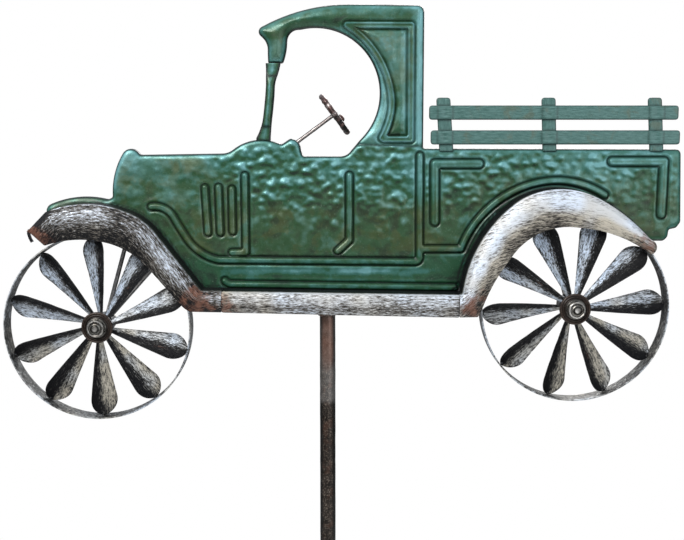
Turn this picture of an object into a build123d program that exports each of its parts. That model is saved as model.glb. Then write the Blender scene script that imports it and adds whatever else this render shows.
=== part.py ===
from build123d import *
import os
from math import cos, radians, sin

# Garden windmill: a pressed-steel pickup truck on a ground stake, with two spinning wheels.
# Millimetres. Z is up, X runs from the truck's front (-X) to its tail (+X), and the embossed
# side faces -Y. The origin is on the pole's axis at ground level.

os.makedirs("parts", exist_ok=True)

# ---- Driving dimensions ---------------------------------------------------------------

sheet = 1.2                    # gauge of the pressed steel
panel_front = 7.0              # Y of the body pressing's face
panel_depth = 6.0              # how far its edges turn back
panel_back = panel_front + panel_depth
panel_middle = panel_front + panel_depth / 2
edge_step = 1.6                # rounded-over edge of the pressing
bead_width = 5.0               # embossed ribs
corner_bead_width = 6.4        # the two on the bed
bead_height = 1.8

fender_face = -20.0            # Y of the fenders' and running board's face
fender_depth = panel_front - fender_face

wheel_radius = 74.5            # outside of the rim band
wheel_front = -13.0            # Y of the rim band's front edge
rim_width = 16.0
rim_gauge = 1.2
front_wheel = (-182.5, 612.3)  # wheel centres, X and Z
rear_wheel = (196.0, 627.0)

blade_count = 10
blade_gauge = 0.8
blade_width = 21.0
blade_root = 7.4               # radius where a blade starts, inside the hub's barrel
blade_root_width = 3.6
blade_shoulder = 58.0          # radius where it is widest
blade_tip = 73.25              # radius where it meets the rim
blade_bulge = 68.8             # radius where its rounded end has narrowed to seven tenths
blade_pitch = 29.0             # degrees; each blade's clockwise edge is the nearer one
blade_cup_radius = 18.0        # radius of the blade's hollow
blade_cup_depth = 3.2
first_blade = {"front": 92.0, "rear": 4.0}  # degrees from +X

axle_radius = 4.0              # M8
axle_clearance = 0.05
washer_clearance = 0.2
spacer_radius = 6.0
spacer_clearance = 0.1
hub_radius = 12.5
hub_barrel_radius = 8.0
hub_disc = 3.0
hub_front = -14.0
hub_back = 3.5
bush_radius = 5.6
bush_length = 5.0
washer_gauge = 1.2
nut_height = 4.2
nut_flats = 13.0
bolt_head = 5.3
bolt_chamfer = 0.8
end_float = 0.3                # play that lets a wheel turn
boss_radius = 8.0
boss_back = 19.0
bolt_end = -20.9

strut_radius = 1.75
strut_bite = 0.4               # how far a leg's end reaches into the boss
strut_angles = {"front": (74.0, 48.0), "rear": (105.0, 148.0)}
strut_reach = {"front": (110.0, 104.0), "rear": (104.0, 100.0)}

pole_radius = 6.35             # half-inch tube
pole_wall = 1.2
pole_joint = 330.0             # height of the joint between the two pole sections
plug_length = 40.0
spike_radius = 6.0
spike_depth = 120.0            # how far the point goes into the ground
spike_taper = 22.0
prong_radius = 3.0
prong_spread = 42.0
prong_bend = 12.0
step_bar_height = 14.0
prong_taper = 16.0
prong_point = 0.5
plug_clearance = 0.05
plug_radius = pole_radius - pole_wall - plug_clearance
pole_top = 638.5               # just under the running board's top wall
saddle_bottom = 627.0
saddle_height = 9.0
saddle_gauge = 1.5
saddle_span = 34.0

board_front = -83.0            # the running board's ends, where the fenders join it
board_rear = 104.0
board_middle = 632.0
front_top, front_bottom = 641.6, 625.0  # its top and bottom at each end
rear_top, rear_bottom = 638.8, 620.9
pole_hole_clearance = 0.3

slat_gauge = 1.5
slat_width = 11.2
slat_corner = 2.0
stake_top = 793.2
stake_foot = 750.8
post_radius = 3.7
post_flat = 3.2
column_radius = 1.5
steering_radius = 19.5
steering_grip = 2.2
spider_hub = 3.6
spider_boss = 5.0
spider_arm = 3.0
spider_gauge = 2.0


def facing(depth):
    """The plane at this Y that faces the viewer: its x is X and its y is Z."""
    return Plane(origin=(0, depth, 0), x_dir=(1, 0, 0), z_dir=(0, -1, 0))


def facing_at(centre, depth):
    """The same plane with its origin on a wheel's axis."""
    return Plane(origin=(centre[0], depth, centre[1]), x_dir=(1, 0, 0), z_dir=(0, -1, 0))


def save(piece, name):
    piece.part.label = name
    export_step(piece.part, f"parts/{name}.step")


def outline(*pieces):
    """A curve through straight runs (2 points) and round stretches (3 points)."""
    with BuildLine() as curve:
        for points in pieces:
            if len(points) == 2:
                Line(*points)
            else:
                ThreePointArc(*points)
    return curve.line


# ---- Body panel -----------------------------------------------------------------------

roof = outline(
    [(76.4, 753.5), (76.4, 860)],
    [(76.4, 860), (75, 863.5), (71.5, 865)],
    [(71.5, 865), (20, 866)],
    [(20, 866), (-17, 862), (-51.3, 849)],
    [(-51.3, 849), (-54.4, 845), (-52.5, 841.3)],
    [(-52.5, 841.3), (-48.2, 836), (-47.3, 829)],
    [(-47.3, 829), (-47, 820.2)],
    [(-47, 820.2), (-35, 820.2)])
cab_window = outline(
    [(-35, 820.2), (-32.7, 828), (-31.6, 838)],
    [(-31.6, 838), (-28.4, 844.3), (-21.4, 846.3)],
    [(-21.4, 846.3), (41.6, 795.8), (25.9, 760)],
    [(25.9, 760), (18.5, 751.2)],
    [(18.5, 751.2), (15.8, 748.6), (11.5, 747.2)],
    [(11.5, 747.2), (-19.5, 747.2)])
hood = outline(
    [(-19.5, 747.2), (-21.4, 752.4)],
    [(-21.4, 752.4), (-22.6, 757.6), (-25.7, 760.6)],
    [(-25.7, 760.6), (-29.6, 761.4)],
    [(-29.6, 761.4), (-36.5, 756.6)],
    [(-36.5, 756.6), (-56, 760.2), (-76, 752)],
    [(-76, 752), (-80, 750), (-85, 749.4)],
    [(-85, 749.4), (-149.5, 748.4)],
    [(-149.5, 748.4), (-157.3, 753.2), (-163.5, 749.8)],
    [(-163.5, 749.8), (-170.3, 734.5), (-172.6, 714.4)],
    [(-172.6, 714.4), (-176, 712.8)],
    [(-176, 712.8), (-203, 714.5), (-222, 709.3)],
    [(-222, 709.3), (-225.4, 706.6), (-226.4, 702.5)])
lower_edge = outline(
    [(-226.4, 702.5), (-221, 697)],
    [(-221, 697), (-186, 702), (-151, 689)],
    [(-151, 689), (-106, 633)],
    [(-106, 633), (112.5, 632)],
    [(112.5, 632), (136, 692), (181, 713.3)],
    [(181, 713.3), (219, 702), (250, 679.3)])
tail = outline(
    [(250, 679.3), (271, 679.3)],
    [(271, 679.3), (274.3, 682.5)],
    [(274.3, 682.5), (275, 688.6)],
    [(275, 688.6), (281, 689.8)],
    [(281, 689.8), (284.3, 694.5)],
    [(284.3, 694.5), (282.4, 749)],
    [(282.4, 749), (281.4, 751.6), (278.6, 752.9)],
    [(278.6, 752.9), (76.4, 753.5)])

louvres = [
    outline([(-98, 722), (-96.1, 686.2)]),
    outline([(-87.1, 722.5), (-86.2, 686)]),
    outline([(-76.5, 721), (-76.3, 687)])]
beads = louvres + [
    outline([(-66, 731.7), (-65.8, 670.2)], [(-65.8, 670.2), (-77, 670)]),
    outline([(17.6, 732), (17.6, 680)], [(17.6, 680), (8, 671.2)]),
    outline(
        [(-141.4, 706.8), (-131, 705.5), (-122.5, 696.3)],
        [(-122.5, 696.3), (-114, 682.3)],
        [(-114, 682.3), (-103, 670.5), (-88, 664)],
        [(-88, 664), (70.5, 662.6)],
        [(70.5, 662.6), (73.1, 663.7), (74.2, 666.3)],
        [(74.2, 666.3), (73.8, 747.5)]),
    outline([(-83, 647), (-80.5, 644.9), (-76.5, 644.2)], [(-76.5, 644.2), (103, 641.6)]),
    outline(
        [(76, 673), (107.5, 673)],
        [(107.5, 673), (134, 709.8), (181.2, 727.7)],
        [(181.2, 727.7), (203, 725), (222, 716.2)]),
    outline([(15.5, 849.3), (66.2, 849.3)], [(66.2, 849.3), (66.4, 760.5)], [(66.4, 760.5), (45, 760.5)]),
    outline([(15.5, 849.3), (42, 821.5), (51.2, 790)], [(51.2, 790), (49, 774.5), (43.5, 761.5)])]
corner_beads = [
    outline([(86.2, 695), (85.8, 741.1)], [(85.8, 741.1), (121.2, 741.1)]),
    outline([(227, 742.9), (268.5, 742.9)], [(268.5, 742.9), (267.9, 701)])]

body_edges = [*roof.edges(), *cab_window.edges(), *hood.edges(), *lower_edge.edges(), *tail.edges()]
body_outline = make_face(body_edges)

with BuildPart() as body_panel:
    with BuildSketch(facing(panel_back)):
        add(body_outline)
    extrude(amount=panel_depth - edge_step)
    with BuildSketch(facing(panel_back)):
        add(body_outline)
        offset(amount=-edge_step, mode=Mode.REPLACE)
    extrude(amount=panel_depth)
    with BuildSketch(facing(panel_back)):
        add(body_outline)
        offset(amount=-sheet - edge_step, mode=Mode.REPLACE)
    extrude(amount=panel_depth - sheet, mode=Mode.SUBTRACT)
    # raised ribs: louvres, door lines, sill lines, wheel arch, bed corners, cab quarter
    with BuildSketch(facing(panel_front)):
        for path in beads:
            add(make_face(path.wires()[0].offset_2d(bead_width / 2).edges()))
        for path in corner_beads:
            add(make_face(path.wires()[0].offset_2d(corner_bead_width / 2).edges()))
    extrude(amount=bead_height)
save(body_panel, "body_panel")


# ---- Fenders and running board --------------------------------------------------------

def pressed_channel(outer_edge, inner_edge):
    """A flat face with a wall turned back from its outer edge to the body panel."""
    with BuildPart() as channel:
        with BuildSketch(facing(fender_face + sheet)):
            make_face([*outer_edge.edges(), *inner_edge.edges()])
        extrude(amount=sheet)
        with BuildSketch(facing(panel_front)):
            add(make_face(outer_edge.wires()[0].offset_2d(sheet, side=Side.RIGHT).edges()))
        extrude(amount=fender_depth)
    return channel


front_fender = pressed_channel(
    outline(
        [(-233.6, 689.3), (-219.1, 704.1)],
        [(-219.1, 704.1), (-184, 709.9), (-150, 700.5)],
        [(-150, 700.5), (-142, 694.8), (-134, 686.2)],
        [(-134, 686.2), (-99.7, 641.8)],
        [(-99.7, 641.8), (board_front, front_top)]),
    outline(
        [(board_front, front_top), (board_front, front_bottom)],
        [(board_front, front_bottom), (-105, 625.4)],
        [(-105, 625.4), (-110.3, 626.6), (-114.5, 630)],
        [(-114.5, 630), (-138.6, 658)],
        [(-138.6, 658), (-153, 671.3), (-173.1, 680)],
        [(-173.1, 680), (-196, 682.3), (-220.8, 677.6)],
        [(-220.8, 677.6), (-233.6, 689.3)]))
save(front_fender, "front_fender")

rear_fender = pressed_channel(
    outline(
        [(board_rear, rear_top), (106.8, 639)],
        [(106.8, 639), (121, 681), (151.2, 713.4)],
        [(151.2, 713.4), (181, 721.6), (213, 713.6)],
        [(213, 713.6), (234, 699.8), (253, 682)]),
    outline(
        [(253, 682), (257.8, 676.2), (253.6, 670.6)],
        [(253.6, 670.6), (226, 685.6), (196, 691.8)],
        [(196, 691.8), (166, 687.4), (144, 668)],
        [(144, 668), (131.5, 649), (122.5, 629)],
        [(122.5, 629), (118.8, 621.2)],
        [(118.8, 621.2), (board_rear, rear_bottom)],
        [(board_rear, rear_bottom), (board_rear, rear_top)]))
save(rear_fender, "rear_fender")

with BuildPart() as running_board:
    for inset, amount, mode in ((0, fender_depth, Mode.ADD), (sheet, fender_depth - sheet, Mode.SUBTRACT)):
        with BuildSketch(facing(panel_front)):
            with BuildLine():
                Polyline((board_front, front_top - inset), (board_rear, rear_top - inset),
                         (board_rear, rear_bottom + inset), (board_front, front_bottom + inset), close=True)
            make_face()
        extrude(amount=amount, mode=mode)
    with BuildSketch(Plane.XY.offset(board_middle)):
        Circle(pole_radius + pole_hole_clearance)
    extrude(amount=-fender_depth, mode=Mode.SUBTRACT)
save(running_board, "running_board")


# ---- Rods -----------------------------------------------------------------------------

def rod(start, end, radius):
    """A straight round bar from one centre to another, as a sketch extruded along it."""
    way = Vector(*end) - Vector(*start)
    with BuildSketch(Plane(origin=start, z_dir=way)) as end_face:
        Circle(radius)
    extrude(end_face.sketch, amount=way.length)


def flat_end(corners, gauge):
    """A hammered-flat end of a rod, drawn as seen from the front and centred on the rod."""
    with BuildSketch(facing(panel_middle)) as tab:
        with BuildLine():
            Polyline(*corners, close=True)
        make_face()
    extrude(tab.sketch, amount=gauge / 2, both=True)


with BuildPart() as windshield_post:
    rod((-44, panel_middle, 809), (-48.8, panel_middle, 768), post_radius)
    top_tab = [(-48.8, 820.2), (-36.9, 820.2), (-38.2, 814), (-40.6, 806), (-48.2, 806), (-48.7, 813)]
    flat_end(top_tab, post_flat)
    foot_tab = [(-52.4, 772.5), (-44.8, 772.5), (-45, 759.8), (-56.9, 759.8)]
    flat_end(foot_tab, post_flat)
save(windshield_post, "windshield_post")

with BuildPart() as steering_column:
    rod((-24.5, panel_middle, 758.2), (4.2, panel_middle, 779.2), column_radius)
save(steering_column, "steering_column")

steering_plane = Plane(origin=(5.6, panel_middle, 780.2), x_dir=(0, 1, 0), z_dir=(28.7, 0, 21))

with BuildPart(steering_plane) as steering_wheel_rim:
    Torus(steering_radius - steering_grip, steering_grip)
save(steering_wheel_rim, "steering_wheel_rim")

with BuildPart(steering_plane) as steering_wheel_spider:
    Cylinder(spider_hub, spider_boss, align=(Align.CENTER, Align.CENTER, Align.MIN))
    arm_length = 2 * (steering_radius - 2 * steering_grip)
    for turn in (0, 90):
        with BuildSketch(steering_plane):
            Rectangle(arm_length, spider_arm, rotation=turn)
        extrude(amount=spider_gauge / 2, both=True)
save(steering_wheel_spider, "steering_wheel_spider")


# ---- Bed rails ------------------------------------------------------------------------

def slat(left, right, bottom, name):
    with BuildPart() as bar:
        with BuildSketch(facing(panel_front - slat_gauge)):
            with Locations(((left + right) / 2, bottom + slat_width / 2)):
                RectangleRounded(right - left, slat_width, slat_corner)
        extrude(amount=slat_gauge)
    save(bar, name)


slat(80.4, 277.6, 775.8, "upper_slat")
slat(81.8, 279.4, 756.4, "lower_slat")

stakes = (("front_stake", 91.6, 94.6), ("middle_stake", 174.8, 176.6), ("rear_stake", 258.8, 261.6))
for name, top_x, foot_x in stakes:
    with BuildPart() as stake:
        with BuildSketch(facing(panel_front)) as stake_face:
            with BuildLine():
                half = slat_width / 2
                Polyline((foot_x - half, stake_foot), (top_x - half, stake_top),
                         (top_x + half, stake_top), (foot_x + half, stake_foot), close=True)
            make_face()
            fillet(stake_face.vertices().group_by(Axis.Y)[-1], slat_corner)
        extrude(amount=slat_gauge)
    save(stake, name)


# ---- Pole and ground fork -------------------------------------------------------------

with BuildPart() as upper_pole:
    with BuildSketch(Plane.XY.offset(pole_joint)):
        Circle(pole_radius)
        Circle(pole_radius - pole_wall, mode=Mode.SUBTRACT)
    extrude(amount=pole_top - pole_joint)
save(upper_pole, "upper_pole")

with BuildPart() as lower_pole:
    with BuildSketch():
        Circle(pole_radius)
        Circle(pole_radius - pole_wall, mode=Mode.SUBTRACT)
    extrude(amount=pole_joint)
save(lower_pole, "lower_pole")

with BuildPart() as pole_plug:
    with BuildSketch(Plane.XY.offset(pole_joint - plug_length)):
        Circle(plug_radius)
    extrude(amount=2 * plug_length)
save(pole_plug, "pole_plug")

with BuildPart() as ground_spike:
    with BuildSketch(Plane.XZ):
        with BuildLine():
            Polyline((0, -spike_depth), (spike_radius, spike_taper - spike_depth), (spike_radius, 0),
                     (plug_radius, 0), (plug_radius, plug_length), (0, plug_length), close=True)
        make_face()
    revolve(axis=Axis.Z)
save(ground_spike, "ground_spike")

with BuildPart() as step_fork:
    fork_y = -pole_radius - prong_radius
    prong_end = prong_taper - spike_depth
    with BuildLine() as bar_line:
        FilletPolyline((-prong_spread, fork_y, prong_end), (-prong_spread, fork_y, step_bar_height),
                       (prong_spread, fork_y, step_bar_height), (prong_spread, fork_y, prong_end),
                       radius=prong_bend)
    with BuildSketch(Plane(origin=bar_line.line @ 0, z_dir=bar_line.line % 0)):
        Circle(prong_radius)
    sweep()
    for side in (-1, 1):
        with BuildSketch(Plane(origin=(side * prong_spread, fork_y, prong_end))):
            Circle(prong_radius)
        with BuildSketch(Plane(origin=(side * prong_spread, fork_y, -spike_depth))):
            Circle(prong_point)
        loft()
save(step_fork, "step_fork")

with BuildPart() as pole_saddle:
    with BuildSketch(Plane.XY.offset(saddle_bottom)):
        Circle(pole_radius + saddle_gauge)
        with Locations((0, pole_radius + saddle_gauge)):
            Rectangle(saddle_span, 2 * (pole_radius + saddle_gauge), mode=Mode.SUBTRACT)
        with Locations((0, panel_front / 2)):
            Rectangle(2 * (pole_radius + saddle_gauge), panel_front)
        with Locations((0, panel_front - saddle_gauge / 2)):
            Rectangle(saddle_span, saddle_gauge)
        Circle(pole_radius, mode=Mode.SUBTRACT)
        with Locations((0, panel_front / 2)):
            Rectangle(2 * pole_radius, panel_front, mode=Mode.SUBTRACT)
    extrude(amount=saddle_height)
save(pole_saddle, "pole_saddle")


# ---- Wheels ---------------------------------------------------------------------------

def ring(name, centre, near, far, outer, inner):
    """A tube on a wheel's axis between two depths, the nearer one first."""
    with BuildPart() as tube:
        with BuildSketch(facing_at(centre, far)):
            Circle(outer)
            Circle(inner, mode=Mode.SUBTRACT)
        extrude(amount=far - near)
    save(tube, name)


def blade(name, centre, angle):
    """A cupped spoon blade from the hub's barrel to the rim, turned about its own length."""
    outward = Vector(cos(radians(angle)), 0, sin(radians(angle)))
    across = Vector(-sin(radians(angle)), 0, cos(radians(angle)))
    normal = across * sin(radians(blade_pitch)) - Vector(0, cos(radians(blade_pitch)), 0)
    middle = (centre[0], wheel_front + rim_width / 2, centre[1])
    flat = Plane(origin=middle, x_dir=outward, z_dir=normal)
    end_on = Plane(origin=middle, x_dir=flat.y_dir, z_dir=outward)
    half = blade_width / 2
    root = blade_root_width / 2
    narrow = 0.7 * half
    with BuildPart() as spoon:
        with BuildSketch(flat):
            with BuildLine():
                Line((blade_root, root), (blade_root, -root))
                Line((blade_root, -root), (blade_shoulder, -half))
                ThreePointArc((blade_shoulder, -half), (blade_bulge, -narrow), (blade_tip, 0))
                ThreePointArc((blade_tip, 0), (blade_bulge, narrow), (blade_shoulder, half))
                Line((blade_shoulder, half), (blade_root, root))
            make_face()
        extrude(amount=blade_cup_radius / 2, both=True)
        with BuildSketch(end_on):
            with Locations((0, blade_cup_radius - blade_cup_depth / 2)):
                Circle(blade_cup_radius + blade_gauge)
                Circle(blade_cup_radius, mode=Mode.SUBTRACT)
        extrude(amount=wheel_radius, mode=Mode.INTERSECT)
    save(spoon, name)


for place, centre in (("front", front_wheel), ("rear", rear_wheel)):
    x, z = centre

    # turning parts: rim, hub with two bushes, blades
    rim_back = wheel_front + rim_width
    ring(f"{place}_rim", centre, wheel_front, rim_back, wheel_radius, wheel_radius - rim_gauge)
    with BuildPart() as hub:
        with BuildSketch(facing_at(centre, hub_back)):
            Circle(hub_barrel_radius)
        extrude(amount=hub_back - hub_front)
        with BuildSketch(facing_at(centre, hub_front + hub_disc)):
            Circle(hub_radius)
        extrude(amount=hub_disc)
        fillet(hub.edges().group_by(Axis.Y)[0], hub_disc / 2)
        with BuildSketch(facing_at(centre, hub_back)):
            Circle(bush_radius)
        extrude(amount=hub_back - hub_front, mode=Mode.SUBTRACT)
    save(hub, f"{place}_hub")
    with BuildPart() as bushes:
        for far in (hub_front + bush_length, hub_back):
            with BuildSketch(facing_at(centre, far)):
                Circle(bush_radius)
                Circle(axle_radius + axle_clearance, mode=Mode.SUBTRACT)
            extrude(amount=bush_length)
    save(bushes, f"{place}_hub_bushes")
    for number in range(blade_count):
        blade(f"{place}_blade_{number + 1:02d}", centre, first_blade[place] + 360 / blade_count * number)

    # fixed parts: axle bolt with its nut, washer and spacer, the boss and the strut legs
    nut_back = hub_front - end_float - washer_gauge
    with BuildPart() as axle_bolt:
        with BuildSketch(facing_at(centre, boss_back + bolt_head)):
            RegularPolygon(nut_flats / 2, 6, major_radius=False)
        extrude(amount=bolt_head)
        with BuildSketch(facing_at(centre, boss_back)):
            Circle(axle_radius)
        extrude(amount=boss_back - bolt_end)
        chamfer(axle_bolt.edges().group_by(Axis.Y)[0], bolt_chamfer)
    save(axle_bolt, f"{place}_axle_bolt")
    with BuildPart() as lock_nut:
        with BuildSketch(facing_at(centre, nut_back)):
            RegularPolygon(nut_flats / 2, 6, major_radius=False)
            Circle(axle_radius, mode=Mode.SUBTRACT)
        extrude(amount=nut_height)
    save(lock_nut, f"{place}_lock_nut")
    washer_bore = axle_radius + washer_clearance
    ring(f"{place}_washer", centre, nut_back, hub_front - end_float, hub_barrel_radius, washer_bore)
    spacer_bore = axle_radius + spacer_clearance
    ring(f"{place}_spacer", centre, hub_back + end_float, panel_front, spacer_radius, spacer_bore)
    ring(f"{place}_axle_boss", centre, panel_front, boss_back, boss_radius, axle_radius)
    with BuildPart() as struts:
        for angle, reach in zip(strut_angles[place], strut_reach[place]):
            along = Vector(cos(radians(angle)), 0, sin(radians(angle)))
            start = Vector(x, panel_back + strut_radius, z) + along * (boss_radius - strut_bite)
            rod(start, start + along * reach, strut_radius)
    save(struts, f"{place}_struts")
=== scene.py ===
import math

import bmesh
import bpy
import numpy as np
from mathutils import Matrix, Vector
from mathutils.geometry import delaunay_2d_cdt


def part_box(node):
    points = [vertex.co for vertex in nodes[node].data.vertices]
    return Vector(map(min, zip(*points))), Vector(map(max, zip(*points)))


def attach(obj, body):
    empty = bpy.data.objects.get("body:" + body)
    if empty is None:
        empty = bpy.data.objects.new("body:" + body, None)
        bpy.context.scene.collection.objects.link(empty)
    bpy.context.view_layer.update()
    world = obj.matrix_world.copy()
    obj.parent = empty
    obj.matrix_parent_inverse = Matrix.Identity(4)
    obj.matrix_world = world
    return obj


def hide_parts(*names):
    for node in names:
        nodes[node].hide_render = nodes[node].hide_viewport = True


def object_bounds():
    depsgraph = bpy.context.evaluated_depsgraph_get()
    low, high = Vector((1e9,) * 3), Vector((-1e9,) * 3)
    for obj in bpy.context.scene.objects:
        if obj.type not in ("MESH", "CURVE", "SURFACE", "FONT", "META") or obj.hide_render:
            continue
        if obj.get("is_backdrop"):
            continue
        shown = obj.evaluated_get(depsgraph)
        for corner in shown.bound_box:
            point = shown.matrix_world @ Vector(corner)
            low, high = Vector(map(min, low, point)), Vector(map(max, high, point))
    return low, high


# Garden windmill: a pressed-steel pickup truck on a pole, with two bladed wheels.
# Shapes are in millimetres in the CAD frame, and become metres when a piece is made. The camera
# and the lights are in metres.

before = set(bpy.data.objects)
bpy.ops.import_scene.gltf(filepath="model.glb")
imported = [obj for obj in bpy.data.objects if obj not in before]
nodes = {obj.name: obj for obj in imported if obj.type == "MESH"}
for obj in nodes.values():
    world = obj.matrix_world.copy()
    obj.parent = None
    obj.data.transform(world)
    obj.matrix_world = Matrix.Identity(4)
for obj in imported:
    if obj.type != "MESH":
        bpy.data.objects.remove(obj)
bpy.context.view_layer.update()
scene = bpy.context.scene

MM = 0.001
stack = np.column_stack

camera_pitch = 6.6197           # degrees below level
floor_z = -120.3
floor_radius = 1100
no_wall = -90.0                # an edge that ends here is only as deep as the sheet


# ---- Camera, light and floor

camera_data = bpy.data.cameras.new("camera")
camera_data.sensor_width = 36.0
camera_data.lens = 50.336
camera = bpy.data.objects.new("camera", camera_data)
camera.location = (0.0116, -0.760, 0.745)
camera.rotation_euler = (math.radians(90 - camera_pitch), 0, 0)
scene.collection.objects.link(camera)
scene.camera = camera
scene.view_settings.view_transform = "Standard"
scene.view_settings.look = "None"


def area_light(name, place, target, size, power, colour):
    data = bpy.data.lights.new(name, "AREA")
    data.shape = "DISK"
    data.size = size
    data.energy = power
    data.color = colour
    light = bpy.data.objects.new(name, data)
    light.location = place
    light.rotation_euler = (Vector(target) - Vector(place)).to_track_quat("-Z", "Y").to_euler()
    scene.collection.objects.link(light)


area_light("key", (-0.75, -1.15, 1.75), (0, 0, 0.68), 0.9, 30, (1.0, 0.985, 0.96))
area_light("fill", (1.1, -1.5, 0.75), (0, 0, 0.65), 1.2, 9, (0.92, 0.96, 1.0))
area_light("back", (0.5, 1.6, 1.6), (0, 0, 0.65), 1.2, 22, (1.0, 0.98, 0.95))

world = bpy.data.worlds.new("studio")
scene.world = world
world.use_nodes = True
sky = world.node_tree
sky.nodes.clear()
coords, split, ramp, ray, pick, glow, out, half = (sky.nodes.new(f"ShaderNode{kind}") for kind in (
    "TexCoord", "SeparateXYZ", "ValToRGB", "LightPath", "Mix", "Background", "OutputWorld", "Math"))
pick.data_type = "RGBA"
pick.inputs["B"].default_value = (1, 1, 1, 1)
half.operation = "MULTIPLY_ADD"
half.inputs[1].default_value = 0.5
half.inputs[2].default_value = 0.5
for start, end in ((coords.outputs["Generated"], split.inputs[0]), (split.outputs["Z"], half.inputs[0]),
                   (half.outputs[0], ramp.inputs[0]), (ray.outputs["Is Camera Ray"], pick.inputs["Factor"]),
                   (ramp.outputs["Color"], pick.inputs["A"]), (pick.outputs["Result"], glow.inputs["Color"]),
                   (glow.outputs[0], out.inputs["Surface"])):
    sky.links.new(start, end)
stops = ramp.color_ramp.elements
stops[0].color = (0.10, 0.10, 0.10, 1)
stops[1].color = (0.95, 1.0, 1.08, 1)
for at, level in ((0.46, (0.16, 0.16, 0.16)), (0.56, (0.38, 0.40, 0.42)), (0.75, (0.62, 0.68, 0.76))):
    stops.new(at).color = (*level, 1)


# ---- Materials

class Paint:
    """A material built from nodes. Its methods add nodes and return their output sockets."""

    def __init__(self, name, metallic=0.0, specular=0.5, coat=0.0, coat_roughness=0.1):
        self.material = bpy.data.materials.new(name)
        self.material.use_nodes = True
        self.tree = self.material.node_tree
        self.tree.nodes.clear()
        self.shader = self.node("BsdfPrincipled", {"Metallic": metallic, "Specular IOR Level": specular,
                                                   "Coat Weight": coat, "Coat Roughness": coat_roughness})
        self.node("OutputMaterial", {"Surface": self.shader.outputs[0]})

    def feed(self, node, inputs):
        """Sets a node's inputs to numbers, vectors, colours or other nodes' sockets."""
        for key, value in inputs.items():
            socket = node.inputs[key]
            if isinstance(value, bpy.types.NodeSocket):
                self.tree.links.new(value, socket)
            else:
                socket.default_value = (*value, 1) if socket.type == "RGBA" else value

    def node(self, kind, inputs, **settings):
        made = self.tree.nodes.new("ShaderNode" + kind)
        for key, value in settings.items():
            setattr(made, key, value)
        self.feed(made, inputs)
        return made

    def mark(self, name, output="Fac"):
        """A number stored on the mesh's points."""
        return self.node("Attribute", {}, attribute_name=name).outputs[output]

    def flow(self):
        """Millimetres along and across the piece, stored on the mesh's points."""
        return self.mark("flow", "Vector")

    def place(self):
        """Where a point is in the part's frame, in millimetres."""
        return self.stretch(self.node("TexCoord", {}).outputs["Object"], (1000, 1000, 1000))

    def stretch(self, vector, factors):
        return self.node("VectorMath", {0: vector, 1: factors}, operation="MULTIPLY").outputs[0]

    def noise(self, vector, size, detail=3.0, roughness=0.55, distortion=0.0):
        """Noise whose features are about size millimetres across."""
        return self.node("TexNoise", {"Vector": vector, "Scale": 1 / size, "Detail": detail,
                                      "Roughness": roughness, "Distortion": distortion}).outputs["Fac"]

    def sum(self, operation, first, second, clamp=False):
        return self.node("Math", {0: first, 1: second}, operation=operation, use_clamp=clamp).outputs[0]

    def plus(self, first, second):
        return self.sum("ADD", first, second)

    def times(self, first, second, clamp=False):
        return self.sum("MULTIPLY", first, second, clamp)

    def swing(self, value, strength):
        """A noise as a number that swings round 0."""
        return self.times(self.sum("SUBTRACT", value, 0.5), strength)

    def step(self, value, start, end, low=0.0, high=1.0):
        """Rises smoothly from low to high as value goes from start to end."""
        return self.node("MapRange", {"Value": value, "From Min": start, "From Max": end, "To Min": low,
                                      "To Max": high}, interpolation_type="SMOOTHSTEP").outputs["Result"]

    def mix(self, share, first, second):
        inputs = {"Factor": share, "A": first, "B": second}
        return self.node("Mix", inputs, data_type="RGBA").outputs["Result"]

    def finish(self, colour, roughness, height=None, relief=0.1, **others):
        """Sets the shader. relief is the height in millimetres of the finest bumps."""
        self.feed(self.shader, {"Base Color": colour, "Roughness": roughness, **others})
        if height is not None:
            bump = self.node("Bump", {"Strength": 1.0, "Distance": relief * MM, "Height": height})
            self.feed(self.shader, {"Normal": bump.outputs[0]})
        return self.material


def green_lacquer():
    """Glossy green over steel with an olive patina. lift is its tone with painted highlights and painted
    reflections, teal where high and near black where low; groove mixes in painted shade in recesses and along
    edges, with some darker paint.
    """
    p = Paint("green_lacquer", specular=0.38, coat=0.18, coat_roughness=0.2)
    at = p.place()
    lift = p.plus(p.mark("lift"), p.step(p.noise(at, 11, 4, 0.6, 0.3), 0.3, 0.7, -0.17, 0.17))
    colour = p.mix(p.step(lift, -0.05, 0.42), (0.002, 0.018, 0.008), (0.015, 0.071, 0.031))
    colour = p.mix(p.step(lift, 0.38, 0.78), colour, (0.044, 0.152, 0.124))
    colour = p.mix(p.step(lift, 0.74, 1.25), colour, (0.135, 0.325, 0.335))
    stain = p.step(p.noise(at, 17, 4, 0.6, 0.5), 0.40, 0.62)
    stain = p.times(p.mark("patina"), p.sum("MAXIMUM", stain, 0.4), True)
    olive = p.mix(p.step(lift, 0.3, 0.9), (0.042, 0.060, 0.016), (0.120, 0.145, 0.068))
    colour = p.mix(p.times(stain, 0.78), colour, olive)
    fleck = p.step(p.noise(at, 1.3, 2), 0.60, 0.74)
    colour = p.mix(p.times(fleck, 0.22), colour, (0.17, 0.25, 0.17))
    colour = p.mix(p.mark("groove"), colour, (0.0012, 0.0055, 0.0040))
    rough = p.plus(p.step(p.noise(at, 6, 3), 0.3, 0.7, 0.30, 0.46), p.step(lift, 0.5, 0.1, 0.0, 0.2))
    height = p.plus(p.noise(at, 2.6, 3), p.times(p.noise(at, 0.7, 2), 0.25))
    return p.finish(colour, rough, height, 0.2, Metallic=p.step(lift, 0.2, 0.9, 0.1, 0.35))


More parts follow.
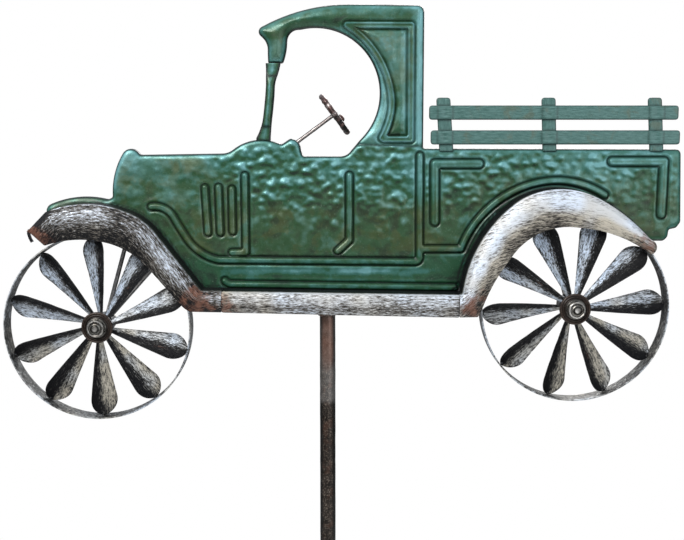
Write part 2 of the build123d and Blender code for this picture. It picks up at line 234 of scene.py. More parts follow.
def rail_paint():
    p = Paint("rail_paint", metallic=0.15, specular=0.45, coat=0.12, coat_roughness=0.3)
    at = p.place()
    streak = p.noise(p.stretch(p.flow(), (0.25, 1.6, 1.0)), 1.6, 4, 0.6)
    colour = p.mix(p.step(streak, 0.3, 0.7), (0.034, 0.100, 0.085), (0.085, 0.180, 0.165))
    brown = p.step(p.noise(at, 13, 4, 0.6, 0.5), 0.52, 0.68)
    colour = p.mix(p.times(brown, 0.5), colour, (0.085, 0.095, 0.055))
    colour = p.mix(p.mark("groove"), colour, (0.004, 0.016, 0.012))
    rough = p.step(streak, 0.3, 0.7, 0.36, 0.55)
    return p.finish(colour, rough, p.noise(at, 1.5, 4), 0.18)


def brushed_silver(name, along, bright, warm_bright, middle, dark, rust_colour):
    """Silver paint dry-brushed over black steel. cover says how much silver there is, with painted highlights
    and painted shade worked into it, and warm how brown it is."""
    p = Paint(name, specular=0.2)
    streak = p.noise(p.stretch(p.flow(), (1 / along, 1.0, 1.0)), 1.3, 5, 0.68, 0.2)
    fine = p.noise(p.stretch(p.flow(), (1.4 / along, 1.4, 1.0)), 0.7, 2, 0.6)
    blotch = p.noise(p.place(), 5, 4, 0.62)
    level = p.plus(p.plus(p.swing(streak, 2.7), p.swing(fine, 2.4)), p.swing(blotch, 0.6))
    value = p.plus(level, p.mark("cover"))
    light = p.mix(p.mark("warm"), bright, warm_bright)
    colour = p.mix(p.step(value, 0.0, 0.44), dark, middle)
    colour = p.mix(p.step(value, 0.30, 1.22), colour, light)
    grain = p.times(p.sum("SUBTRACT", p.plus(fine, blotch), 1.0), 1.5)
    rust = p.step(p.plus(p.mark("rust"), grain), 0.30, 0.85)
    rust = p.times(rust, p.step(p.mark("rust"), 0.02, 0.5, 0.0, 0.82), True)
    colour = p.mix(rust, colour, rust_colour)
    shine = p.times(p.step(value, 0.1, 0.9), p.sum("SUBTRACT", 1.0, rust), True)
    rough = p.step(shine, 0, 1, 0.5, 0.4)
    return p.finish(colour, rough, level, 0.16, Metallic=p.step(shine, 0, 1, 0.15, 0.5))


def speckled(name, base, light, size, roughness, metallic=0.0, coat=0.0, warm=None):
    """A plain finish with mottling, specks and bare spots. shade darkens it with painted shade and, on the
    pole, darker paint; worn is bare metal and, on rods, nuts and bolts, a painted highlight.
    """
    p = Paint(name, metallic=metallic, coat=coat, coat_roughness=0.1)
    at = p.place()
    mottle = p.noise(at, size * 5, 4, 0.6)
    speck = p.step(p.noise(at, size, 3, 0.7), 0.5, 0.68)
    colour = p.mix(p.step(mottle, 0.3, 0.7), base, tuple(1.9 * c for c in base))
    colour = p.mix(p.times(speck, 0.55), colour, light)
    if warm:
        patch = p.step(p.noise(at, size * 9, 3), 0.54, 0.68, 0.0, 0.3)
        colour = p.mix(p.sum("MAXIMUM", patch, p.mark("warm")), colour, warm)
    colour = p.mix(p.mark("shade"), colour, (0.006, 0.006, 0.005))
    worn = p.times(p.mark("worn"), p.step(mottle, 0.3, 0.6, 0.6, 1.0))
    colour = p.mix(worn, colour, (0.52, 0.50, 0.48))
    rough = p.step(mottle, 0.3, 0.7, roughness - 0.08, roughness + 0.1)
    height = p.plus(mottle, p.times(p.noise(at, size, 2), 0.35))
    return p.finish(colour, rough, height, 0.15)


def plain_floor():
    p = Paint("pale_floor", specular=0.2)
    mottle = p.step(p.noise(p.place(), 90, 2), 0.3, 0.7)
    return p.finish(p.mix(mottle, (0.76, 0.76, 0.75), (0.78, 0.78, 0.77)), 0.8)


finishes = {
    "green_enamel": green_lacquer(),
    "rail_green": rail_paint(),
    "brushed_silver": brushed_silver("brushed_silver", 6.5, (0.70, 0.76, 0.85), (0.58, 0.53, 0.44),
                                     (0.100, 0.088, 0.074), (0.005, 0.005, 0.006), (0.185, 0.084, 0.056)),
    "pewter": brushed_silver("pewter", 4.0, (0.58, 0.67, 0.80), (0.50, 0.46, 0.38),
                             (0.060, 0.058, 0.054), (0.003, 0.003, 0.004), (0.12, 0.05, 0.035)),
    "brown_hub": speckled("hub_brown", (0.016, 0.009, 0.006), (0.12, 0.085, 0.062), 0.7, 0.40, metallic=0.35),
    "zinc_steel": speckled("zinc_steel", (0.20, 0.19, 0.17), (0.70, 0.68, 0.62), 0.6, 0.3, metallic=0.85,
                           warm=(0.24, 0.18, 0.12)),
    "black_enamel": speckled("black_enamel", (0.006, 0.006, 0.007), (0.05, 0.05, 0.055), 0.8, 0.24, coat=0.4),
    "aged_copper": speckled("aged_copper", (0.050, 0.024, 0.021), (0.62, 0.46, 0.42), 0.9, 0.34,
                            metallic=0.6),
    "brown_pole": speckled("pole_brown", (0.018, 0.013, 0.010), (0.42, 0.34, 0.27), 1.1, 0.36, metallic=0.5,
                           warm=(0.170, 0.076, 0.048)),
    "bronze": speckled("bronze", (0.16, 0.10, 0.05), (0.40, 0.28, 0.14), 0.7, 0.4, metallic=0.9)}
floor_paint = plain_floor()


# ---- Mesh helpers

def smooth(value, start, end):
    """Rises smoothly from 0 at start to 1 at end."""
    t = unit((np.asarray(value, float) - start) / (end - start))
    return t * t * (3 - 2 * t)


def fall(value, start, end):
    """Falls smoothly from 1 at start to 0 at end."""
    return 1 - smooth(value, start, end)


def peak(value, centre, width):
    """A bell that is 1 at centre."""
    return np.exp(-((value - centre) / width) ** 2)


def spot(points, x, z, reach):
    """A round bell that is 1 at X, Z."""
    return np.exp(-(((points[:, 0] - x) ** 2 + (points[:, 1] - z) ** 2) / reach ** 2))


def unit(value):
    """The value, kept between 0 and 1."""
    return np.clip(value, 0, 1)


def rounding(share):
    """A quarter circle's height, from 0 at 0 to 1 at 1."""
    return np.sqrt(unit(1 - (1 - share) ** 2))


def box_of(node):
    """A node's box in millimetres."""
    return [np.array(corner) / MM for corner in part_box(node)]


def centre_of(node):
    return np.mean(box_of(node), 0)


def depths(node):
    """A node's nearest and farthest Y."""
    return [corner[1] for corner in box_of(node)]


def waves(points, size, seed):
    """Smooth random waves from -1 to 1 over the plane, with features about size across."""
    lattice = np.random.default_rng(seed).random((256, 256)) * 2 - 1
    at = np.asarray(points) / size + 64
    cell = np.floor(at).astype(int)
    f = at - cell
    f = f * f * (3 - 2 * f)
    i, j = cell[:, 0] % 255, cell[:, 1] % 255
    low = lattice[i, j] * (1 - f[:, 0]) + lattice[i + 1, j] * f[:, 0]
    high = lattice[i, j + 1] * (1 - f[:, 0]) + lattice[i + 1, j + 1] * f[:, 0]
    return low * (1 - f[:, 1]) + high * f[:, 1]


def pebbles(points, pitch, seed):
    """Rounded hammer marks on a loose grid: 0 between them, about 1 at their tops."""
    rng = np.random.default_rng(seed)
    shift = rng.random((64, 64, 2)) * 0.7 + 0.15
    tall = rng.random((64, 64)) * 0.8 + 0.35
    wide = rng.random((64, 64)) * 0.10 + 0.24
    at = np.asarray(points) / pitch
    cell = np.floor(at).astype(int)
    total = np.zeros(len(at))
    for di in (-1, 0, 1):
        for dj in (-1, 0, 1):
            i, j = cell[:, 0] + di, cell[:, 1] + dj
            s = shift[i % 64, j % 64]
            gap2 = (at[:, 0] - i - s[:, 0]) ** 2 + (at[:, 1] - j - s[:, 1]) ** 2
            total += tall[i % 64, j % 64] * np.exp(-gap2 / (2 * wide[i % 64, j % 64] ** 2))
    return total


def nearest(points, line, closed=True):
    """Each point's distance from a line, and how far along the line its nearest point is."""
    start = np.asarray(line, np.float32)
    end = np.roll(start, -1, 0)
    if not closed:
        start, end = start[:-1], end[:-1]
    run = end - start
    length2 = np.maximum((run ** 2).sum(1), 1e-12)
    before = np.concatenate([[0], np.cumsum(np.sqrt(length2))[:-1]])
    gaps, alongs = [], []
    for chunk in np.array_split(np.asarray(points, np.float32), max(1, len(points) // 1500)):
        x = chunk[:, 0, None] - start[None, :, 0]
        z = chunk[:, 1, None] - start[None, :, 1]
        t = unit((x * run[:, 0] + z * run[:, 1]) / length2)
        gap2 = (x - t * run[:, 0]) ** 2 + (z - t * run[:, 1]) ** 2
        best = gap2.argmin(1)
        row = np.arange(len(chunk))
        gaps.append(np.sqrt(gap2[row, best]))
        alongs.append(before[best] + t[row, best] * np.sqrt(length2[best]))
    return np.concatenate(gaps).astype(float), np.concatenate(alongs).astype(float)


def gap_to(points, line):
    """Each point's distance from an open line."""
    return nearest(points, line, False)[0]


def inside(points, loops):
    """True for the points inside an odd number of the closed loops."""
    odd = np.zeros(len(points), bool)
    for loop in loops:
        start, end = np.asarray(loop), np.roll(loop, -1, 0)
        rise = end[:, 1] - start[:, 1]
        rise = np.where(rise == 0, 1e-12, rise)
        for part in np.array_split(np.arange(len(points)), max(1, len(points) // 1500)):
            x, z = points[part, 0, None], points[part, 1, None]
            spans = (start[:, 1] > z) != (end[:, 1] > z)
            cross = x < (end[:, 0] - start[:, 0]) * (z - start[:, 1]) / rise + start[:, 0]
            odd[part] ^= (spans & cross).sum(1) % 2 == 1
    return odd


def cad_loops(node, depth):
    """Closed outlines, as X and Z, of a CAD node's flat faces at this Y, the longest first."""
    mesh = nodes[node].data
    place = np.empty(len(mesh.vertices) * 3)
    mesh.vertices.foreach_get("co", place)
    place = place.reshape(-1, 3) / MM
    flat = np.abs(place[:, 1] - depth) < 0.02
    key = [tuple(p) for p in np.round(place[:, [0, 2]], 2).tolist()]
    edges = set()
    for face in mesh.polygons:
        corners = list(face.vertices)
        if flat[corners].all():
            ring = [key[c] for c in corners]
            edges.update((a, b) for a, b in zip(ring, ring[1:] + ring[:1]) if a != b)
    after = {a: b for a, b in edges if (b, a) not in edges}
    loops = []
    while after:
        first, here = after.popitem()
        loop = [first]
        while here != first:
            loop.append(here)
            here = after.pop(here)
        loop = np.array(loop)
        x, z = loop.T
        if (x * np.roll(z, -1) - np.roll(x, -1) * z).sum() < 0:
            loop = loop[::-1]
        loops.append(loop)
    return sorted(loops, key=lambda l: -np.hypot(*(np.roll(l, -1, 0) - l).T).sum())


def travelled(path):
    """How far along an open path each of its points is."""
    return np.concatenate([[0], np.cumsum(np.linalg.norm(np.diff(path, axis=0), axis=1))])


def resampled(line, step, closed=True, soften=0):
    """The same line, in two or three dimensions, with points about step apart and soft corners."""
    whole = np.vstack([line, line[:1]]) if closed else np.asarray(line, float)
    reach = travelled(whole)
    count = max(4, round(reach[-1] / step)) + (0 if closed else 1)
    at = np.linspace(0, reach[-1], count, endpoint=not closed)
    points = stack([np.interp(at, reach, column) for column in whole.T])
    for _ in range(soften):
        points = 0.25 * np.roll(points, 1, 0) + 0.5 * points + 0.25 * np.roll(points, -1, 0)
    return points


def inward(loop):
    """Unit normals that point into a loop that runs anticlockwise."""
    run = np.roll(loop, -1, 0) - np.roll(loop, 1, 0)
    run /= np.hypot(*run.T)[:, None]
    return stack([-run[:, 1], run[:, 0]])


def scatter(outline, rows, spacing, ribs=(), rib_rows=(), seed=1):
    """Points for a relief: the outline, rows beside it and beside the ribs, and a loose grid."""
    kept = [outline]
    for gap in rows:
        row = outline + inward(outline) * gap
        kept.append(row[nearest(row, outline)[0] > 0.93 * gap])
    rng = np.random.default_rng(seed)
    low, high = outline.min(0), outline.max(0)
    x, z = np.meshgrid(np.arange(low[0], high[0], spacing), np.arange(low[1], high[1], spacing * 0.866))
    x = x + (np.arange(len(x)) % 2)[:, None] * spacing / 2
    grid = stack([x.ravel(), z.ravel()])
    grid += rng.uniform(-0.16, 0.16, grid.shape) * spacing
    grid = grid[inside(grid, [outline])]
    grid = grid[nearest(grid, outline)[0] > (rows[-1] if len(rows) else 0) + 0.6 * spacing]
    if len(ribs):
        gap = rib_distance(grid, ribs)
        grid = grid[(gap > rib_rows[-1] + 0.5 * spacing) | (gap < rib_rows[0] - 0.5 * spacing)]
        for rib in ribs:
            fine = resampled(rib, 1.1, soften=1)
            for offset in rib_rows:
                row = fine - inward(fine) * offset * rib_side(rib, ribs)
                near = np.abs(rib_distance(row, ribs) - offset) < 0.14
                row = row[near & inside(row, [outline])]
                if len(row):
                    kept.append(row[nearest(row, outline)[0] > 0.8])
    kept.append(grid)
    points = np.vstack(kept)
    _, first = np.unique(np.floor(points / 0.36).astype(int), axis=0, return_index=True)
    first = np.union1d(first, np.arange(len(outline)))
    return points[first]


def rib_distance(points, ribs):
    """Distance from the ribs' outlines, negative on a rib."""
    gap = np.full(len(points), np.inf)
    for rib in ribs:
        low, high = rib.min(0) - 14, rib.max(0) + 14
        near = np.flatnonzero(((points > low) & (points < high)).all(1))
        if len(near):
            gap[near] = np.minimum(gap[near], nearest(points[near], rib)[0])
    return np.where(inside(points, ribs), -gap, np.minimum(gap, 14))


def rib_side(rib, ribs):
    """1 if this outline bounds its rib from outside, -1 if it is the hole of a closed rib."""
    others = [r for r in ribs if r is not rib]
    return -1 if inside(rib[:1], others)[0] else 1


def triangles(points, ring):
    """Delaunay triangles of the points, inside the closed ring that the first ones form."""
    edges = [(c, (c + 1) % ring) for c in range(ring)]
    made = delaunay_2d_cdt([Vector(p) for p in points.tolist()], edges, [], 0, 1e-5, True)
    place, faces, origin = made[0], made[2], made[3]
    number, extra = [], []
    for at, source in zip(place, origin):
        if source:
            number.append(min(source))
        else:
            number.append(len(points) + len(extra))
            extra.append(tuple(at))
    points = np.vstack([points, extra]) if extra else points
    faces = np.array([[number[c] for c in face] for face in faces])
    return points, faces[inside(points[faces].mean(1), [points[:ring]])].tolist()


def pressing(outline, front, wall_end, gauge, rows, spacing, back_spacing, ribs=(), rib_rows=(),
             back_rows=(), wall_rows=3, seed=1):
    """A sheet pressed to a relief, with its edge turned back.
    front gives Y for points, wall_end gives Y where each outline point's edge ends.
    Returns the points, the faces and what each point is: 0 front, 1 wall, 2 inside."""
    count = len(outline)
    flat, faces = triangles(scatter(outline, rows, spacing, ribs, rib_rows, seed), count)
    face_y = front(flat)
    rim_y = face_y[:count]
    ends = np.maximum(wall_end(outline), rim_y + 0.35 * gauge)
    inner = outline + inward(outline) * gauge
    loose = scatter(inner, (2.0,), back_spacing, ribs if back_rows else (), back_rows, seed + 50)
    back, back_faces = triangles(loose, count)
    layers = [(flat, face_y, 0.0)]
    layers += [(outline, rim_y + (ends - rim_y) * row / wall_rows, 1.0) for row in range(1, wall_rows + 1)]
    layers += [(inner, ends, 1.0), (back, front(back) + gauge, 2.0)]
    starts = np.cumsum([0] + [len(p) for p, _, _ in layers]).tolist()
    ring = np.arange(count)
    after = np.roll(ring, -1)
    for a, b in zip(starts, starts[1:-1]):
        faces += stack([ring + a, after + a, after + b, ring + b]).tolist()
    faces += [[c + starts[-2] for c in face[::-1]] for face in back_faces]
    points = np.vstack([stack([p[:, 0], y, p[:, 1]]) for p, y, _ in layers])
    return points, faces, np.concatenate([np.full(len(p), kind) for p, _, kind in layers])


def flat_end(y):
    """An edge that ends at one Y all round."""
    return lambda p: np.full(len(p), y)


def flow_of(along, across):
    return stack([along, across, np.zeros(len(along))])


def piece(name, form, slot, stands_for=(), body="truck", sharp=50):
    """Makes a piece from a form and sets it on its body. A form is points in millimetres, faces
    and marks."""
    points, faces, marks = form
    mesh = bpy.data.meshes.new(name)
    mesh.from_pydata((np.asarray(points) * MM).tolist(), [], faces)
    for key, values in marks.items():
        values = np.asarray(values, np.float32)
        layer = mesh.attributes.new(key, "FLOAT_VECTOR" if values.ndim == 2 else "FLOAT", "POINT")
        layer.data.foreach_set("vector" if values.ndim == 2 else "value", values.ravel())
    work = bmesh.new()
    work.from_mesh(mesh)
    bmesh.ops.remove_doubles(work, verts=work.verts, dist=2e-6)
    bmesh.ops.recalc_face_normals(work, faces=work.faces)
    work.to_mesh(mesh)
    work.free()
    mesh.shade_smooth()
    mesh.set_sharp_from_angle(angle=math.radians(sharp))
    mesh.materials.append(finishes[slot])
    made = bpy.data.objects.new(name, mesh)
    scene.collection.objects.link(made)
    if stands_for:
        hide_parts(*stands_for)
    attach(made, body)
    return made


def together(*parts):
    """Several forms as one."""
    points, faces, total = [], [], 0
    keys = sorted({k for part in parts for k in part[2]})
    marks = {k: [] for k in keys}
    for place, rings, own in parts:
        points.append(place)
        faces += [[c + total for c in face] for face in rings]
        for k in keys:
            empty = np.zeros((len(place), 3)) if k == "flow" else np.zeros(len(place))
            marks[k].append(np.asarray(own.get(k, empty)))
        total += len(place)
    return np.vstack(points), faces, {k: np.concatenate(v) for k, v in marks.items()}


def wrapped(rings, count, closed):
    """Quads between rings of count points each. closed joins the last ring to the first."""
    faces = []
    for r in range(rings if closed else rings - 1):
        here, there = r * count, (r + 1) % rings * count
        for c in range(count):
            after = (c + 1) % count
            faces.append([here + c, here + after, there + after, there + c])
    return faces


def turned(profile, centre, count=72, flats=0.0):
    """A solid turned round an axis along Y through centre (X, Z). profile is a closed line of
    (radius, Y). flats, if set, cuts it to a hexagon of that width."""
    angle = np.arange(count) * 2 * math.pi / count
    rings, flow = [], []
    for radius, y in profile:
        r = np.full(count, float(radius))
        if flats:
            r = np.minimum(r, flats / 2 / np.cos((angle + math.pi / 6) % (math.pi / 3) - math.pi / 6))
        x, z = centre[0] + r * np.cos(angle), centre[1] + r * np.sin(angle)
        rings.append(stack([x, np.full(count, y), z]))
        flow.append(flow_of(angle * max(radius, 1), np.full(count, y + radius)))
    return np.vstack(rings), wrapped(len(profile), count, True), {"flow": np.vstack(flow)}


def bar(path, across, depth=None, count=16, power=2.0, side=(0, 1, 0)):
    """A bar along a path of points, with its ends closed. across and depth are half sizes, and
    depth lies along side. power 2 is round, and more is squarer."""
    path = np.asarray(path, float)
    across = np.broadcast_to(across, len(path))
    depth = across if depth is None else np.broadcast_to(depth, len(path))
    power = np.broadcast_to(power, len(path))
    run = np.gradient(path, axis=0)
    run /= np.linalg.norm(run, axis=1)[:, None]
    turn = np.arange(count) * 2 * math.pi / count
    rings, flow = [], []
    for at, way, a, d, n, s in zip(path, run, across, depth, power, travelled(path)):
        wide = np.cross(way, side)
        wide /= np.linalg.norm(wide)
        deep = np.cross(wide, way)
        c, k = (np.sign(v) * np.abs(v) ** (2 / n) for v in (np.cos(turn), np.sin(turn)))
        rings.append(at + a * c[:, None] * wide + d * k[:, None] * deep)
        flow.append(flow_of(np.full(count, s), turn * (a + d) / 2))
    points = np.vstack(rings)
    faces = wrapped(len(path), count, False)
    faces += [list(range(count)), list(range(len(points) - count, len(points)))]
    return points, faces, {"flow": np.vstack(flow)}


def rounded_ends(length, radius):
    """Places along a bar and the share of its radius there, for softly rounded ends."""
    turn = np.linspace(0, math.pi / 2, 4)
    start, share = radius * (1 - np.cos(turn)), np.sin(np.maximum(turn, 0.12))
    middle = np.arange(radius + 2, length - radius - 1, 3.0)
    at = np.concatenate([start, middle, length - start[::-1]])
    return at, np.concatenate([share, np.ones(len(middle)), share[::-1]])


def line_bar(start, end, radius, bend=0.0, lump=0.0, seed=5, count=14):
    """A round rod between two points, slightly bent and lumpy."""
    start, end = np.asarray(start, float), np.asarray(end, float)
    length = np.linalg.norm(end - start)
    at, share = rounded_ends(length, radius)
    t = at / length
    path = start + (end - start) * t[:, None]
    path[:, 1] += bend * np.sin(math.pi * t)
    size = radius * share * (1 + lump * waves(stack([at, at * 0]), 3.5, seed))
    return bar(path, size, count=count)


def painted_rod_light(rod, middle, radius, worn):
    """Paints a highlight along the middle of a rod's near side and painted shade beside that."""
    near = (middle - rod[0][:, 1]) / radius
    rod[2]["worn"] = worn * smooth(near, 0.86, 0.96)
    rod[2]["shade"] = 0.95 * fall(near, 0.74, 0.94)


def weld(path, radius, seed, side=(0, 1, 0)):
    """A lumpy bead of weld along a path, which nowhere runs along side."""
    path = resampled(path, 0.8, closed=False)
    lump = 1 + 0.3 * waves(stack([np.arange(len(path)) * 0.8, np.zeros(len(path))]), 1.6, seed)
    ends = np.sqrt(np.clip(1 - np.abs(np.linspace(-1, 1, len(path))) ** 4, 0.03, 1))
    return bar(path, radius * lump * ends, count=8, side=side)


# ---- Body

panel_front = 7.0              # Y of the body's face, its back edge and its ribs' tops
panel_back = 13.0
rib_top = 5.2

body_outline = resampled(cad_loops("body_panel", panel_back)[0], 1.0, soften=2)
ribs = cad_loops("body_panel", rib_top)
quarter_inner = min((r for r in ribs if r[:, 1].max() > 800), key=lambda r: np.ptp(r[:, 0]))
cab_base = np.array([(22.0, 756.6), (48, 755.8), (76.0, 755.0)])
cab_rear = np.array([(72.3, 757.0), (72.5, 860.0)])
# the line of the roof's crease, where a band of painted shade goes
roof_fold = ((-50, -36, -10, 13, 72), (838, 843, 851.5, 853.5, 855))     # X and Z along the fold
# the pressings in front of the body, and how wide the band of painted shadow beside each is
walls = [(cad_loops(node, panel_front)[0], wide)
         for node, wide in (("rear_fender", 4.4), ("front_fender", 2.2), ("running_board", 1.4))]


def body_zones(p):
    """How strongly points are hammered, and how far they belong to the roof, arch and hood."""
    x, z = p.T
    roof = smooth(z, 800, 818) * fall(x, 22, 36)
    arch = smooth(z, 758, 768) * fall(x, 48, 56) * (1 - roof)
    hood = fall(x, -100, -80) * smooth(z, 704, 716)
    hammer = 0.28 + 0.82 * smooth(x, -94, -66) * smooth(z, 672, 722)
    hammer += 0.25 * peak(x, -92, 26) * smooth(z, 718, 732)
    hammer *= 1 - 0.35 * smooth(x, 150, 230)
    hammer *= 1 - 0.92 * np.maximum(smooth(z, 754, 757) * smooth(x, 10, 26), roof)
    hammer *= 0.25 + 0.75 * smooth(z, 655, 690)
    return hammer, roof, arch, hood


def hammered(p):
    """Large soft hammer marks with smaller ones between, drawn out downwards on the lower doors."""
    z = np.where(p[:, 1] < 704, 704 + (p[:, 1] - 704) * 0.7, p[:, 1])
    at = stack([p[:, 0], z * 1.3])
    return 0.80 * pebbles(at, 7.8, 11) + 0.30 * pebbles(at, 4.6, 12)


def body_relief(p):
    """Y of the body's face."""
    x, z = p.T
    hammer, roof, arch, hood = body_zones(p)
    edge = nearest(p, body_outline)[0]
    rib = rib_distance(p, ribs)
    width = 4.6 + 4.6 * roof + 1.5 * arch
    y = panel_front + (3.4 + 1.9 * roof + 0.8 * arch) * (1 - rounding(unit(edge / width)))
    y -= 0.9 * (roof + arch) * smooth(edge, 1, 9)
    away = smooth(rib, 0.6, 5) * smooth(edge, 1.0, 5.5)
    y -= away * hammer * (1.05 * hammered(p) - 0.45)
    y -= smooth(edge, 0, 5) * (0.40 * waves(p, 19, 12) + 0.14 * waves(p, 8, 13))
    y -= 0.45 * away * hood * waves(p * [0.7, 1.0], 11, 19)
    crown = 1.9 * rounding(unit(-rib / 2.4)) * smooth(edge, 0, 2)
    y = np.where(rib < 0, np.minimum(y, panel_front + 1) - crown, y)
    y += 1.05 * peak(rib, 0.8, 0.8) * smooth(edge, 0.5, 3)
    y -= 0.25 * peak(rib, 2.7, 0.9) * smooth(edge, 3, 5)
    y += smooth(z, 755, 758) * smooth(x, 0, 10) * smooth(-rib, 1.0, 2.1)
    y -= np.where(inside(p, [quarter_inner]) & (rib > 0), 1.5 * smooth(rib, 1.2, 6.5), 0)
    y += 0.75 * peak(gap_to(p, cab_base), 0, 0.9) - 0.4 * peak(gap_to(p, cab_rear), 0, 1.0)
    y += 0.5 * smooth(z, 754.6, 757.0) * smooth(x, 16, 26) * smooth(edge, 0, 3)
    return np.maximum(y, rib_top)


def body_marks(points, kinds):
    """How light or dark the lacquer is, from its tone, painted highlights, painted reflections and painted
    shade, and where it is stained.
    """
    p = points[:, [0, 2]]
    x, z = p.T
    hammer, roof, arch, hood = body_zones(p)
    edge = nearest(p, body_outline)[0]
    rib = rib_distance(p, ribs)
    away = smooth(rib, 0.6, 4) * smooth(edge, 1.0, 5.5) * hammer
    # painted light: each hammer mark is lighter on its upper side and darker on its lower side
    painted_top_light = hammered(p - [0, 1.5]) - hammered(p + [0, 1.5])
    upper = smooth(z, 700, 744)
    cab = smooth(z, 755, 760) * smooth(x, 10, 30)
    ring = smooth(z, 755, 758) * smooth(x, 4, 12)
    # lighter towards the top, plus the hammer marks' painted light from above
    lift = 0.37 + 0.39 * upper + away * (0.60 * (hammered(p) - 0.45) + 0.74 * painted_top_light)
    lift += 0.14 * waves(p, 21, 14) + 0.10 * cab + 0.10 * arch - 0.10 * roof
    lift += (1 - upper) * smooth(z, 660, 672) * (0.18 * waves(p * [1.0, 0.7], 6, 18) - 0.04)
    lift += hood * (1 - cab) * (0.06 + 0.26 * waves(p * [0.7, 1.0], 11, 19))
    # painted highlights on the ribs' crowns and on the low ridge just outside them; on the quarter ring, a
    # painted highlight just inside the rib's edge and painted shade along its middle
    lift += 0.30 * peak(rib, -1.7, 0.8) * (1 - ring) + 0.24 * peak(rib, 2.6, 0.8) * smooth(edge, 2, 4)
    lift += ring * (0.42 * peak(rib, -0.75, 0.5) - 0.34 * smooth(-rib, 1.2, 2.2))
    # a band of painted shade along the roof's crease
    fold_shade = peak(z, np.interp(x, *roof_fold), 4.2) * smooth(z, 836, 842) * fall(x, 66, 73)
    lift -= 0.42 * fold_shade * (rib > 0)
    # painted shade inside the cab's quarter ring: beside its rib and low down
    shaded = 0.42 * peak(rib, 1.5, 3.2) * (x < quarter_inner[:, 0].max() - 6)
    shaded += 0.36 * fall(z, 764, 782) - 0.14 * smooth(z, 790, 815)
    lift -= np.where(inside(p, [quarter_inner]) & (rib > 0), shaded, 0)
    # a painted highlight along the ridge at the cab's rear edge; darker towards the bottom
    lift += 0.40 * peak(gap_to(p, cab_rear), 0, 0.9) - 0.16 * fall(z, 640, 668)
    # a painted reflection in a strip along the lower body, and a darker band just above it
    sill_reflection = peak(z, 655.0, 3.0) * smooth(x, -95, -70) * fall(x, 70, 100)
    lift += sill_reflection * (0.58 + 0.40 * waves(p * [0.6, 1.0], 9, 17))
    lift -= 0.30 * peak(z, 667.5, 2.0) * smooth(x, -80, -60) * fall(x, 60, 72)
    # a painted highlight just inside the outline; a lighter strip by the cab's rear edge
    lift += 0.26 * peak(edge, 2.4, 0.7) + 0.19 * smooth(x, 64, 68) * smooth(z, 756, 760)
    # painted shade at the foot of the ribs, along the outline where the edge turns back, and in the sunk line
    # at the cab's base
    groove = (0.88 - 0.42 * ring) * peak(rib, 0.7, 0.75)
    groove = np.maximum(groove, fall(edge, 0.5, 1.8))
    groove = np.maximum(groove, 0.85 * peak(gap_to(p, cab_base), 0, 0.8))
    # a band of painted shadow on the body beside each pressing's wall, with a painted highlight line in it
    for wall, wide in walls:
        gap = nearest(p, wall)[0]
        line = 0.75 * peak(gap, 0.45 * wide, 0.5)
        groove = np.maximum(groove, fall(gap, wide - 0.9, wide + 0.5)) * (1 - line)
        lift += 0.35 * line
    patina = 0.30 + 0.60 * smooth(waves(p, 30, 15), -0.2, 0.4)
    patina *= (1 - 0.8 * upper * smooth(x, -110, -80) * fall(z, 770, 800)) * smooth(z, 660, 678)
    patina += 0.65 * smooth(x, -150, -120) * fall(x, 90, 110) * fall(z, 690, 722) * smooth(z, 664, 674)
    patina += 0.40 * fall(x, -140, -105) * smooth(z, 690, 705) * (1 - 0.6 * smooth(z, 725, 742))
    patina += 0.45 * roof * smooth(-x, 30, 44) * fall(z, 838, 848) + 0.10 * cab
    patina *= (1 - 0.75 * smooth(z, 842, 850)) * smooth(edge, 1.5, 6)
    lift = np.where(kinds > 0, 0.18 + 0.10 * waves(p, 15, 16), lift)
    groove = np.where(kinds == 1, 0.80, np.where(kinds == 2, 0.12, groove))
    return {"lift": lift, "groove": unit(groove), "patina": unit(patina)}


points, faces, kinds = pressing(body_outline, body_relief, flat_end(panel_back), 1.1,
                                (0.5, 1.1, 1.9, 2.9, 4.0), 1.2, 2.2, ribs,
                                (-1.9, -1.2, -0.55, 0.1, 0.7, 1.35, 2.1, 3.1), (-1.7, -0.5, 0.7, 2.0))
piece("truck_body", (points, faces, body_marks(points, kinds)), "green_enamel", ["body_panel"])


# ---- Fenders and running board

fender_face = -20.0            # Y of the fenders' crown, and of where their outer walls end
wall_end = 7.0
seams = (-83.0, 104.0)         # X of the running board's ends


def silver_piece(name, node, points, faces, kinds, cover, rust, warm, along, down):
    """Makes a silver pressing's piece. along and down are its brush strokes' flow."""
    down = down + (points[:, 1] - fender_face) * (kinds > 0)
    marks = {"cover": cover, "rust": unit(np.where(kinds > 0, 0, rust)), "warm": unit(warm),
             "flow": flow_of(along, down)}
    piece(name, (points, faces, marks), "brushed_silver", [node])


